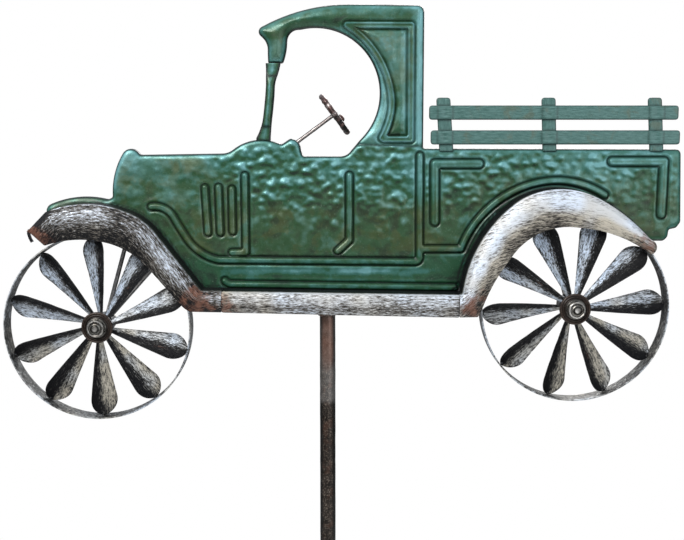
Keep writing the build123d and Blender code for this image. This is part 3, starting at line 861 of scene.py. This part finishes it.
def fender(name, cover_at, painted_dimming, warm_at, stains, worn, strokes=None):
    """Makes a fender's piece. cover_at is its silver at the crown, painted_dimming the painted shade
    that darkens it towards the wheel, where its face turns down, and warm_at how brown the silver is.
    stains are rusty places. worn places show the dark steel, or more silver if their strength
    is below 0. Both are X, Z, reach and strength. strokes is the point that the brush strokes go round, if
    they don't follow the fender."""
    loop = cad_loops(name, fender_face)[0]
    at_wall = {tuple(p) for q in cad_loops(name, wall_end) for p in np.round(q, 1).tolist()}
    walled = np.array([tuple(p) in at_wall for p in np.round(loop, 1).tolist()])
    loop = np.roll(loop, -int(np.flatnonzero(~walled & np.roll(walled, -1))[0]) - 1, 0)
    count = int(walled.sum())
    outer, inner = loop[:count], np.vstack([loop[count - 1:], loop[:1]])
    seam = min(seams, key=lambda s: abs(loop[:, 0] - s).min())
    seam_low = loop[np.abs(loop[:, 0] - seam) < 0.5][:, 1].min()
    inner = inner[(np.abs(inner[:, 0] - seam) > 0.5) | (inner[:, 1] < seam_low + 1)]
    outline = resampled(loop, 0.9, soften=1)
    outer, inner = resampled(outer, 2, closed=False), resampled(inner, 2, closed=False)

    def sides(p):
        """Distance from the outer edge, and that as a share of the way to the inner edge."""
        out = gap_to(p, outer)
        return out, out / np.maximum(out + gap_to(p, inner), 0.01)

    def relief(p):
        out, s = sides(p)
        y = fender_face + 4.4 * (unit(0.36 - s) / 0.36) ** 2.4 + 4.2 * (unit(s - 0.36) / 0.64) ** 2.2
        y += 0.35 * waves(p, 14, 21) + 0.12 * waves(p, 4, 22) + 0.5 * peak(out, 2.0, 0.7)
        return np.clip(y, fender_face, -15.0)

    def ends(p):
        return np.where(gap_to(p, outer) < 1.3, wall_end, no_wall)

    points, faces, kinds = pressing(outline, relief, ends, 1.0, (0.5, 1.2, 2.0, 2.9), 1.3, 2.6,
                                    wall_rows=4, seed=23)
    p = points[:, [0, 2]]
    out, s = sides(p)
    along = nearest(p, outer, False)[1]
    # painted light on the face: painted shade towards the wheel, where the face turns down, and a painted
    # highlight in a band along the crown and in a thin line at the outer edge; darker just inside that edge
    cover = cover_at - 0.20 * fall(s, 0.03, 0.12) - painted_dimming * smooth(s, 0.45, 0.90) + 0.16 * waves(p, 18, 24)
    cover += 0.26 * peak(s, 0.30, 0.14) + 0.55 * fall(out, 0.2, 1.0)
    rust = np.max([strength * spot(p, x, z, reach) for x, z, reach, strength in stains], 0)
    for x, z, reach, strength in worn:
        cover -= strength * spot(p, x, z, reach)
    # the wall is dark, as dark paint with painted shade, with a line of painted highlight along it
    cover = np.where(kinds > 0, -0.5 + 0.9 * peak(points[:, 1], -11, 1.4), cover - 0.5 * rust)
    rust = rust * (0.80 + 0.35 * waves(p, 5, 25))
    warm = warm_at + 0.85 * smooth(s, 0.35, 0.75) + 0.40 * waves(p, 12, 26)
    if strokes:
        gap = p - strokes
        along, out = np.arctan2(gap[:, 1], gap[:, 0]) * 140, np.hypot(*gap.T)
    silver_piece(f"{name}_pressing", name, points, faces, kinds, cover, rust, warm, along, out)


fender("front_fender", 0.42, 0.40, -0.15,
       [(-229, 686, 9, 1.0), (-219, 684, 9, 0.7), (-104, 634, 14, 0.95), (-92, 629, 10, 0.6)],
       [(-230, 694, 5, 1.3), (-225, 699, 5, 1.3), (-219, 704, 4, 1.0), (-158, 694, 13, 0.30),
        (-146, 680, 12, 0.15)])
fender("rear_fender", 0.92, 0.26, 0.25,
       [(113, 629, 11, 1.0), (120, 638, 9, 0.75), (249, 680, 11, 0.9), (240, 686, 9, 0.5)],
       [(160, 684, 9, 0.45), (180, 693, 9, 0.45), (205, 693, 9, 0.25), (145, 676, 7, 0.3),
        (228, 690, 22, -0.42)], strokes=(178, 542))

board_loop = cad_loops("running_board", fender_face)[0]
left, right = board_loop[:, 0].min(), board_loop[:, 0].max()
left_end, right_end = (board_loop[np.abs(board_loop[:, 0] - x) < 0.5][:, 1] for x in (left, right))


def board_share(p):
    """0 at the board's top edge and 1 at its bottom edge, the depth below the top edge, and the
    distance from the nearer end."""
    t = (p[:, 0] - left) / (right - left)
    top, bottom = (f(left_end) + (f(right_end) - f(left_end)) * t for f in (np.max, np.min))
    return (top - p[:, 1]) / (top - bottom), top - p[:, 1], np.minimum(p[:, 0] - left, right - p[:, 0])


def board_relief(p):
    s, depth, end = board_share(p)
    y = fender_face + 0.25 + 3.4 * (unit(0.22 - s) / 0.22) ** 2 + 3.2 * (unit(s - 0.5) / 0.5) ** 2.6
    y += 0.30 * waves(p, 18, 31) + 0.12 * waves(p, 4, 32)
    y += 0.5 * fall(end, 0, 1.2) - 0.9 * peak(p[:, 0], 1, 9) * smooth(s, 0.2, 0.8)
    return np.clip(y, fender_face, -14)


points, faces, kinds = pressing(resampled(board_loop, 1.1, soften=1), board_relief, flat_end(wall_end), 1.0,
                                (0.5, 1.2, 2.0), 1.3, 2.8, wall_rows=4, seed=33)
p = points[:, [0, 2]]
s, depth, end = board_share(p)
# painted light on the board's face: painted shade over its lower part, where it turns down, and a painted
# highlight line near its lower edge and along its top edge; darker near its ends
cover = 0.79 - 0.38 * smooth(s, 0.40, 0.70) + 0.20 * peak(s, 0.88, 0.08) + 0.16 * waves(p, 15, 34)
cover += 0.5 * fall(depth, 0.3, 1.3) - 0.30 * fall(end, 0.3, 1.2)
# its walls are dark, the top one darker, as dark paint with painted shade
cover = np.where(kinds > 0, np.where(p[:, 1] > board_loop[:, 1].mean(), -0.5, -0.1), cover)
warm = 0.35 + 0.5 * fall(p[:, 0], left, left + 60) + 0.4 * waves(p, 12, 35)
silver_piece("running_board_pressing", "running_board", points, faces, kinds, cover,
             0.65 * spot(p, left, 629, 15), warm, p[:, 0], depth)

# the lip at the front fender's tip, turned back towards the wheel
lip = [(-231.6, -17.0, 690.2), (-232.6, -16.5, 687.5), (-231.6, -16.0, 683.5), (-230.2, -15.6, 680.6)]
lip = bar(resampled(lip, 0.7, closed=False), 1.4, 0.6, count=14, power=3.0, side=(0.2, 1, 0.1))
piece("front_fender_lip", lip, "black_enamel")


# ---- Bed rails
crossing_half = 5.6            # half the width of a crossing bar


def rail(node, crossings, upright):
    """A flat bar with soft edges, bulged where another bar crosses it."""
    front_y = depths(node)[0]
    outline = resampled(cad_loops(node, front_y)[0], 1.0, soften=1)

    def gaps(p):
        return [p[:, int(upright)] - at for at in crossings]

    def relief(p):
        edge = nearest(p, outline)[0]
        y = front_y + 0.15 + 0.75 * (1 - rounding(unit(edge / 1.5)))
        y += 0.12 * waves(p, 9, 41) + 0.05 * waves(p, 2.6, 42)
        for gap in gaps(p):
            y -= 0.45 * fall(np.abs(gap), crossing_half - 1.4, crossing_half + 1.2) * smooth(edge, 0, 2)
            y += 0.75 * peak(gap, 0, 2.6) * peak(edge, 4.0, 1.6)
        return y

    points, faces, kinds = pressing(outline, relief, flat_end(no_wall), 1.25, (0.5, 1.1), 1.25, 2.2, seed=43)
    p = points[:, [0, 2]]
    # painted shade along the bar's edges and a line of painted shadow beside each crossing bar; the edge
    # walls and back dark
    groove = 0.75 * fall(nearest(p, outline)[0], 0.1, 1.2)
    for gap in gaps(p):
        groove = np.maximum(groove, 0.55 * peak(np.abs(gap), crossing_half + 0.4, 0.7))
    flow = p[:, ::-1] if upright else p
    marks = {"groove": np.where(kinds > 0, 0.7, groove), "flow": flow_of(*flow.T)}
    piece(f"{node}_bar", (points, faces, marks), "rail_green", [node])


stakes = ("front_stake", "middle_stake", "rear_stake")
slats = ("upper_slat", "lower_slat")
for node in slats:
    rail(node, [centre_of(n)[0] for n in stakes], False)
for node in stakes:
    rail(node, [centre_of(n)[2] for n in slats], True)


# ---- Windshield post and steering wheel

post_line = np.array([  # Z, X of the centre, half width, half depth, squareness
    (759.8, -51.0, 5.7, 1.5, 5), (760.2, -51.0, 5.9, 1.7, 5), (764.5, -49.9, 4.9, 1.7, 4.5),
    (770.0, -48.7, 4.1, 2.0, 3.5), (773.5, -48.1, 3.8, 2.8, 2.5), (777.0, -47.6, 3.7, 3.6, 2),
    (785.0, -46.6, 3.7, 3.7, 2), (795.0, -45.6, 3.7, 3.7, 2), (803.0, -45.1, 3.6, 3.6, 2),
    (806.5, -44.8, 3.9, 3.0, 2.5), (809.5, -44.4, 4.3, 2.2, 3.5), (812.5, -43.8, 4.8, 1.7, 5),
    (816.5, -43.2, 5.4, 1.6, 5), (819.8, -42.9, 5.9, 1.6, 5), (820.2, -42.9, 5.8, 1.4, 5)]).T
post_y = 10.0
z = np.concatenate([[759.8, 760.2], np.arange(761, 820, 0.8), [819.8, 820.2]])
middle, wide, deep, power = (np.interp(z, post_line[0], column) for column in post_line[1:])
points, faces, marks = bar(stack([middle, np.full(len(z), post_y), z]), wide, deep, count=36, power=power)
level = points[:, 2]
points[:, 1] += 0.08 * waves(points[:, [0, 2]], 3.5, 51)
gap = np.hypot(points[:, 0] + 41.5, level - 815.8)
points[:, 1] += np.where(points[:, 1] < post_y, 0.5 * peak(gap, 0, 0.9), 0)
middle, wide = (np.interp(level, post_line[0], column) for column in post_line[1:3])
across = (points[:, 0] - middle) / wide
side = np.abs(across)
# painted shade down both sides of the post, at its foot and in the dimple, dark lines across it at two
# heights, and a painted highlight stripe just left of its middle
groove = 0.95 * peak(level, 810.2, 1.3) + 0.9 * peak(level, 770.5, 1.5)
for dark in (smooth(side, 0.55, 0.86), 0.8 * fall(level, 760, 761.5), 0.9 * peak(gap, 0, 1.0)):
    groove = np.maximum(groove, dark)
lift = 0.62 - 0.50 * side + 0.50 * peak(across, -0.18, 0.24) + 0.12 * waves(points[:, [0, 2]], 5, 52)
lift += 0.25 * smooth(level, 812, 815)
marks = {"lift": lift, "groove": unit(groove), "patina": np.full(len(points), 0.25)}
piece("windshield_post_rod", (points, faces, marks), "green_enamel", ["windshield_post"])

column = line_bar((-25.5, post_y, 757.4), (4.6, post_y, 779.5), 1.5, lump=0.06, seed=61, count=22)
painted_rod_light(column, post_y, 1.5, 0.8)
piece("steering_column_rod", column, "aged_copper", ["steering_column"])

wheel_at = np.array([5.6, post_y, 780.2])
wheel_axis = np.array([28.7, 0, 21.0]) / math.hypot(28.7, 21)
wheel_side = np.array([0, 1.0, 0])
wheel_up = np.cross(wheel_axis, wheel_side)
wheel_radius = 17.0


def on_wheel(radius, turn, along):
    """Points at a radius and a turn in the steering wheel's plane, moved along its axis."""
    sideways, up = radius * np.cos(turn), radius * np.sin(turn)
    return wheel_at + stack([sideways, up, along]) @ np.array([wheel_side, wheel_up, wheel_axis])


turn, tube = (np.arange(count) * 2 * math.pi / count for count in (96, 16))
lumps = waves(stack([turn * 17.3, turn * 0]), 2.6, 62)
grip = 2.15 + 0.35 * lumps
points = [on_wheel(wheel_radius + g * np.cos(tube), t, g * np.sin(tube)) for t, g in zip(turn, grip)]
# painted shade in the dips between the grip's lumps; their tops are lighter
marks = {"shade": np.repeat(0.9 * fall(lumps, -0.5, 0.1), 16),
         "worn": np.repeat(0.55 * smooth(lumps, 0.35, 0.7), 16)}
piece("steering_wheel_grip", (np.vstack(points), wrapped(96, 16, True), marks), "aged_copper",
      ["steering_wheel_rim"])
reach = np.linspace(1.5, 16.2, 14)
spokes = [bar(on_wheel(reach, turn_at, 0.25 * np.sin(reach / 3)), 1.5 - 0.3 * np.sin(reach / 5), 0.75,
              count=12, power=3, side=wheel_axis) for turn_at in (0.5, 2.07, 3.64, 5.21)]
nub = np.array([(-1.4, 2.6), (-0.6, 3.4), (0.8, 3.5), (2.2, 3.3), (3.6, 3.0), (4.4, 2.2), (4.8, 0.9)])
spokes.append(bar(wheel_at - 5.5 * wheel_up + wheel_axis * nub[:, :1], nub[:, 1], count=24, side=wheel_side))
piece("steering_wheel_spokes", together(*spokes), "aged_copper", ["steering_wheel_spider"])


# ---- Wheels

wheel_middle = -5.0            # Y of the rims' and blades' middle
blade_pitch = math.radians(29)
blade_root, blade_shoulder, blade_tip = 7.4, 58.0, 73.2     # distances from the wheel's axis
blade_half = 10.5
nut_flats = 13.0               # across the flats of the nuts and of the bolts' heads
head_height = 5.3


def circle_through(*points):
    """Centre and radius of the circle through three points."""
    a, b, c = np.array(points)
    centre = np.linalg.solve(2 * np.array([b - a, c - a]), [b @ b - a @ a, c @ c - a @ a])
    return centre, math.hypot(*(centre - a))


tip_arc = circle_through((blade_shoulder, -blade_half), (68.8, -0.7 * blade_half), (blade_tip, 0))


def blade_width(r):
    """Half the blade's width at distances r from the wheel's axis."""
    taper = 1.8 + (r - blade_root) * (blade_half - 1.8) / (blade_shoulder - blade_root)
    (x, y), radius = tip_arc
    tip = np.sqrt(np.clip(radius ** 2 - (r - x) ** 2, 0, None)) - y
    return np.maximum(np.where(r > blade_shoulder, tip, taper), 0.3)


def blade(node, centre, angle, body, seed):
    """Makes a cupped blade's piece, with the spot of weld that holds its tip to the rim."""
    straight = np.linspace(blade_root, blade_shoulder, 34)[:-1]
    rounded = blade_shoulder + (blade_tip - blade_shoulder) * np.sin(np.linspace(0, math.pi / 2, 18))
    r = np.concatenate([straight, rounded])
    half = blade_width(r)[:, None]
    v = half * np.sin(np.linspace(-math.pi / 2, math.pi / 2, 19))
    rows, columns = v.shape
    total = v.size
    share = (v / np.maximum(half, 0.5)).ravel()
    local = stack([np.repeat(r, columns), v.ravel()])
    u, v = local.T
    cup = 16.4 - np.sqrt(18.0 ** 2 - np.clip(v, -blade_half, blade_half) ** 2) + 0.6 * smooth(u, 62, 73)
    cup += 0.16 * waves(local, 7, seed) + 0.05 * waves(local, 2.4, seed + 1)
    out = np.array([math.cos(angle), 0, math.sin(angle)])
    normal = np.array([-math.sin(angle), 0, math.cos(angle)]) * math.sin(blade_pitch)
    normal -= np.array([0, math.cos(blade_pitch), 0])
    wide = np.cross(normal, out)
    origin = np.array([centre[0], wheel_middle, centre[1]])
    skins = [origin + stack([u, v, cup + depth]) @ np.array([out, wide, normal]) for depth in (0.0, -0.8)]
    number = np.arange(total).reshape(rows, columns)
    corners = [number[:-1, :-1], number[1:, :-1], number[1:, 1:], number[:-1, 1:]]
    near_faces = stack([c.ravel() for c in corners])
    border = np.concatenate([number[:-1, 0], number[-1, :-1], number[:0:-1, -1], number[0, :0:-1]])
    after = np.roll(border, -1)
    faces = near_faces.tolist() + (near_faces[:, ::-1] + total).tolist()
    faces += stack([border, after, after + total, border + total]).tolist()
    # painted light: the cup is dark with painted shade over one half and bright on the other, whose edge is
    # darkened too; the tip is darkened as painted shade, and the root is lighter
    lean = 0.18 * math.sin(seed * 1.7)
    cover = -0.22 + 1.02 * smooth(share, -0.48 + lean, 0.42 + lean) - 0.40 * smooth(share, 0.78, 1.0)
    painted_dimming = smooth(u, 58, 71) * (0.9 - 0.4 * smooth(share, -0.2, 0.7))
    painted_dimming *= 0.7 + 0.5 * waves(local, 12, seed + 2)
    cover += 0.16 * fall(u, 10, 26) - 0.60 * painted_dimming + 0.12 * waves(local, 11, seed + 3)
    rust = 0.40 * smooth(waves(local, 13, seed + 4), 0.35, 0.9) * smooth(-np.abs(share + 0.3), -0.4, 0)
    # browner on blades pointing down and bluer on those pointing up: a painted reflection of the ground and
    # the sky
    warm = unit(0.5 - 0.55 * math.sin(angle) + 0.4 * waves(local, 12, seed + 5))
    flow = stack([local, np.full(total, seed * 7.3)])
    marks = {"cover": np.append(cover, cover * 0.6), "rust": np.tile(rust, 2), "warm": np.tile(warm, 2),
             "flow": np.vstack([flow, flow + 30])}
    tip = origin + 72.0 * out - 1.1 * normal
    spatter = weld([tip - 2.0 * wide, tip + 2.0 * wide], 1.0, seed)
    spatter[2]["cover"] = np.full(len(spatter[0]), 0.1)
    piece(f"{node}_spoon", together((np.vstack(skins), faces, marks), spatter), "pewter", [node], body)


def radii(form, centre):
    """Each point's distance from an axis along Y."""
    return np.hypot(form[0][:, 0] - centre[0], form[0][:, 2] - centre[1])


for place, first, seam_at, seed in (("front", 92, 130, 71), ("rear", 4, -48, 171)):
    body = f"{place}_wheel"
    centre = centre_of(f"{place}_rim")[[0, 2]]
    low, high = depths(f"{place}_rim")
    outer = np.ptp(box_of(f"{place}_rim"), 0)[0] / 2

    # the rim: a rolled band, slightly uneven, with its ends welded together
    section = [(outer - 1.0, low), (outer - 0.35, low + 0.1), (outer - 0.05, low + 0.6)]
    section += [(outer - 0.02, y) for y in np.linspace(low + 2, high - 2, 7)]
    section += [(outer - 0.05, high - 0.6), (outer - 0.35, high - 0.1), (outer - 1.0, high)]
    section += [(outer - 1.2, y) for y in np.linspace(high - 0.5, low + 0.5, 9)]
    points, faces, marks = turned(section, centre, count=260)
    angle = np.arctan2(points[:, 2] - centre[1], points[:, 0] - centre[0])
    circle = stack([np.cos(angle), np.sin(angle)])
    points[:, [0, 2]] += (0.22 * (waves(40 * circle, 16, seed) - 1))[:, None] * circle
    beside = points[:, 1] - wheel_middle
    dent = 0.25 * np.sign(beside) * np.abs(waves(40 * circle, 9, seed + 1))
    points[:, 1] -= np.where(np.abs(beside) > 7, dent, 0)
    around = stack([angle * outer, points[:, 1]])
    within = radii((points,), centre) < outer - 0.8
    cover = np.where(within, 0.30, 0.62) + 0.22 * waves(around, 14, seed + 2)
    cover += 0.40 * peak(points[:, 1], low, 0.9) + 0.2 * peak(points[:, 1], high, 0.9)
    marks = {"cover": cover, "rust": 0.3 * smooth(waves(around, 11, seed + 3), 0.5, 0.9),
             "warm": unit(0.55 + 0.4 * waves(around, 18, seed + 5)), "flow": flow_of(*around.T)}
    x, z = math.cos(math.radians(seam_at)), math.sin(math.radians(seam_at))
    at = centre + (outer - 0.45) * np.array([x, z])
    seam = [(at[0], low + 0.9, at[1]), (at[0], high - 0.9, at[1])]
    bead = weld(seam, 0.85, seed + 4, (x, 0, z))
    pull = np.minimum(1, (outer - 0.05) / radii(bead, centre))[:, None]
    bead[0][:, [0, 2]] = centre + (bead[0][:, [0, 2]] - centre) * pull
    bead[2]["cover"] = np.full(len(bead[0]), 0.35)
    piece(f"{place}_rim_band", together((points, faces, marks), bead), "pewter", [f"{place}_rim"], body)

    # the hub: a disc with a rolled ring, a groove and the barrel behind
    hub = turned([(5.65, -13.85), (7.0, -13.95), (7.9, -13.9), (8.3, -13.3), (8.7, -13.2), (9.1, -13.75),
                  (9.6, -13.8), (10.0, -13.2), (10.4, -13.1), (10.9, -13.7), (11.6, -13.8), (12.2, -13.3),
                  (12.45, -12.6), (12.4, -11.8), (11.9, -11.2), (11.0, -11.0), (8.3, -10.9), (8.0, -10.4),
                  (8.0, 3.2), (7.7, 3.5), (5.65, 3.5)], centre)
    around = radii(hub, centre)
    dark = 0.8 * peak(around, 8.5, 0.5) + 0.7 * peak(around, 10.2, 0.4)
    hub[2]["shade"] = np.where(hub[0][:, 1] < -10.5, dark, 0)
    piece(f"{place}_hub_disc", hub, "brown_hub", [f"{place}_hub"], body)

    for number in range(10):
        blade(f"{place}_blade_{number + 1:02d}", centre, math.radians(first + 36 * number), body,
              seed + 10 + 5 * number)

    # fixed parts: a hexagon nut with a rolled collar round its locking ring, and the bolt
    low, high = depths(f"{place}_lock_nut")
    nut = turned([(4.2, low + 0.75), (4.9, low + 0.7), (5.2, low + 0.35), (5.6, low + 0.05), (6.1, low),
                  (6.5, low + 0.35), (6.6, low + 1.0), (6.9, low + 1.2), (7.6, low + 1.8), (7.6, high - 0.5),
                  (7.0, high), (4.2, high)], centre, count=120, flats=nut_flats)
    around = radii(nut, centre)
    # painted shade in a thin ring inside the collar and over the hexagon, and a painted highlight on the
    # rolled collar
    nut[2]["shade"] = np.maximum(0.95 * peak(around, 4.9, 0.3), 0.9 * smooth(around, 6.5, 6.9))
    nut[2]["worn"] = 0.7 * peak(around, 5.85, 0.5)
    piece(f"{place}_nut", nut, "zinc_steel", [f"{place}_lock_nut"], sharp=25)
    low, high = depths(f"{place}_washer")
    washer = turned([(4.3, low + 0.1), (4.5, low), (7.6, low), (8.0, low + 0.4), (8.0, high - 0.3),
                     (7.7, high), (4.3, high)], centre)
    washer[2]["shade"] = np.full(len(washer[0]), 0.75)
    piece(f"{place}_washer_ring", washer, "zinc_steel", [f"{place}_washer"])
    low, high = depths(f"{place}_axle_bolt")
    thread = [(0.0, low + 0.25), (1.4, low + 0.1), (2.1, low), (2.7, low + 0.2)]
    for y in low + 0.6 + 1.25 * np.arange(7):
        thread += [(3.35, y - 0.2), (3.98, y + 0.3), (3.45, y + 0.75)]
    thread += [(3.95, y + 1.6), (3.95, high - head_height), (0.0, high - head_height)]
    shank = turned(thread, centre, count=48)
    head = turned([(0.0, high - head_height), (7.6, high - head_height), (7.6, high - 0.9),
                   (6.7, high - 0.2), (6.1, high), (4.8, high), (4.4, high - 0.4), (0.0, high - 0.5)],
                  centre, count=120, flats=nut_flats)
    around = radii(shank, centre)
    # a painted highlight on the middle of the bolt's end and painted shade round it, less of it at the
    # thread's edge
    shank[2]["shade"] = 0.97 * smooth(around, 1.8, 2.3) * (1 - 0.7 * smooth(around, 3.45, 3.9))
    shank[2]["worn"] = 0.8 * fall(around, 1.2, 1.9)
    piece(f"{place}_bolt", together(shank, head), "zinc_steel", [f"{place}_axle_bolt"], sharp=25)

strut_radius, strut_y = 1.75, 14.75
boss_radius = 7.2              # where a leg starts, from the wheel's axis
strut_legs = {  # each leg's angle in degrees, its reach and its bend
    "front": ((74.0, 110.0, 0.5), (48.0, 104.0, -0.4)), "rear": ((105.0, 104.0, 0.5), (148.0, 100.0, -0.4))}
for place, legs in strut_legs.items():
    x, _, z = centre_of(f"{place}_axle_boss")
    parts = []
    for angle, reach, bend in legs:
        along = np.array([math.cos(math.radians(angle)), 0, math.sin(math.radians(angle))])
        start = np.array([x, strut_y, z]) + along * boss_radius
        leg = line_bar(start, start + along * (reach + 0.4), strut_radius, bend, 0.03, int(angle), 22)
        painted_rod_light(leg, start[1] + bend, strut_radius, 0.9)
        side = np.array([-along[2], 0, along[0]])
        ring = [start + along * 1.2 + 1.6 * (side * math.cos(a) + np.array([0, math.sin(a), 0]))
                for a in np.linspace(0, 2 * math.pi, 12)]
        parts += [leg, weld(ring, 0.8, int(angle) + 1, along)]
    piece(f"{place}_strut_legs", together(*parts), "black_enamel", [f"{place}_struts"])


# ---- Pole, kept CAD nodes and floor

pole_wall = 1.2
pole_band = (547, 553, 618, 623)     # Z of the bare band below the truck: its start, full, fade and end

for node, seed in (("upper_pole", 91), ("lower_pole", 95)):
    low, high = box_of(node)
    radius = (high[0] - low[0]) / 2
    section = [(radius, z) for z in np.linspace(low[2], high[2], 120)]
    section += [(radius - pole_wall, z) for z in (high[2], low[2])]
    points, faces, marks = turned(section, (0, 0), count=48)
    points = points[:, [0, 2, 1]]
    height = points[:, 2]
    unrolled = stack([marks["flow"][:, 0], height])
    outside = np.hypot(points[:, 0], points[:, 1]) > radius - 0.1
    points[:, :2] *= np.where(outside, 1 + 0.012 * (waves(unrolled, 5, seed) - 1), 1)[:, None]
    bare = smooth(height, *pole_band[:2]) * fall(height, *pole_band[2:])
    # painted shade down both sides of the tube, and darker paint outside the bare band
    shade = 0.97 * smooth(np.abs(points[:, 0]) / radius, 0.50, 0.88)
    shade += 0.28 * (1 - bare) * (1 + waves(unrolled, 4, seed + 1))
    red = smooth(height, 570, 592)
    warm = bare * (0.75 + 0.25 * waves(unrolled, 6, seed + 2)) * red
    marks = {"shade": unit(shade), "warm": unit(warm), "worn": 0.13 * bare * (1 - red) + 0.08 * bare}
    piece(f"{node}_tube", (points, faces, marks), "brown_pole", [node])

collar = [(6.6 * math.cos(a), 6.6 * math.sin(a), 621.4 + 0.5 * math.sin(3 * a))
          for a in np.linspace(0, 2 * math.pi, 40)]
piece("pole_weld", weld(collar, 1.1, 81, (0, 0, 1)), "brown_pole")

kept_nodes = {
    "brown_pole": ("ground_spike", "step_fork"), "zinc_steel": ("pole_plug", "front_spacer", "rear_spacer"),
    "black_enamel": ("pole_saddle", "front_axle_boss", "rear_axle_boss"),
    "bronze": ("front_hub_bushes", "rear_hub_bushes")}
for slot, names in kept_nodes.items():
    for name in names:
        if not nodes[name].material_slots:
            nodes[name].data.materials.append(None)
        for holder in nodes[name].material_slots:
            holder.material = finishes[slot]

turn = np.linspace(0, 2 * math.pi, 96, endpoint=False)
circle = stack([np.cos(turn), np.sin(turn), np.zeros(96)])
points = np.vstack([r * circle + [0, 0, floor_z] for r in np.linspace(0, floor_radius, 12)])
floor = bpy.data.meshes.new("floor")
floor.from_pydata((points * MM).tolist(), [], wrapped(12, 96, False))
floor.materials.append(floor_paint)
floor_object = bpy.data.objects.new("floor", floor)
scene.collection.objects.link(floor_object)
floor_object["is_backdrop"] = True


low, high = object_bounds()
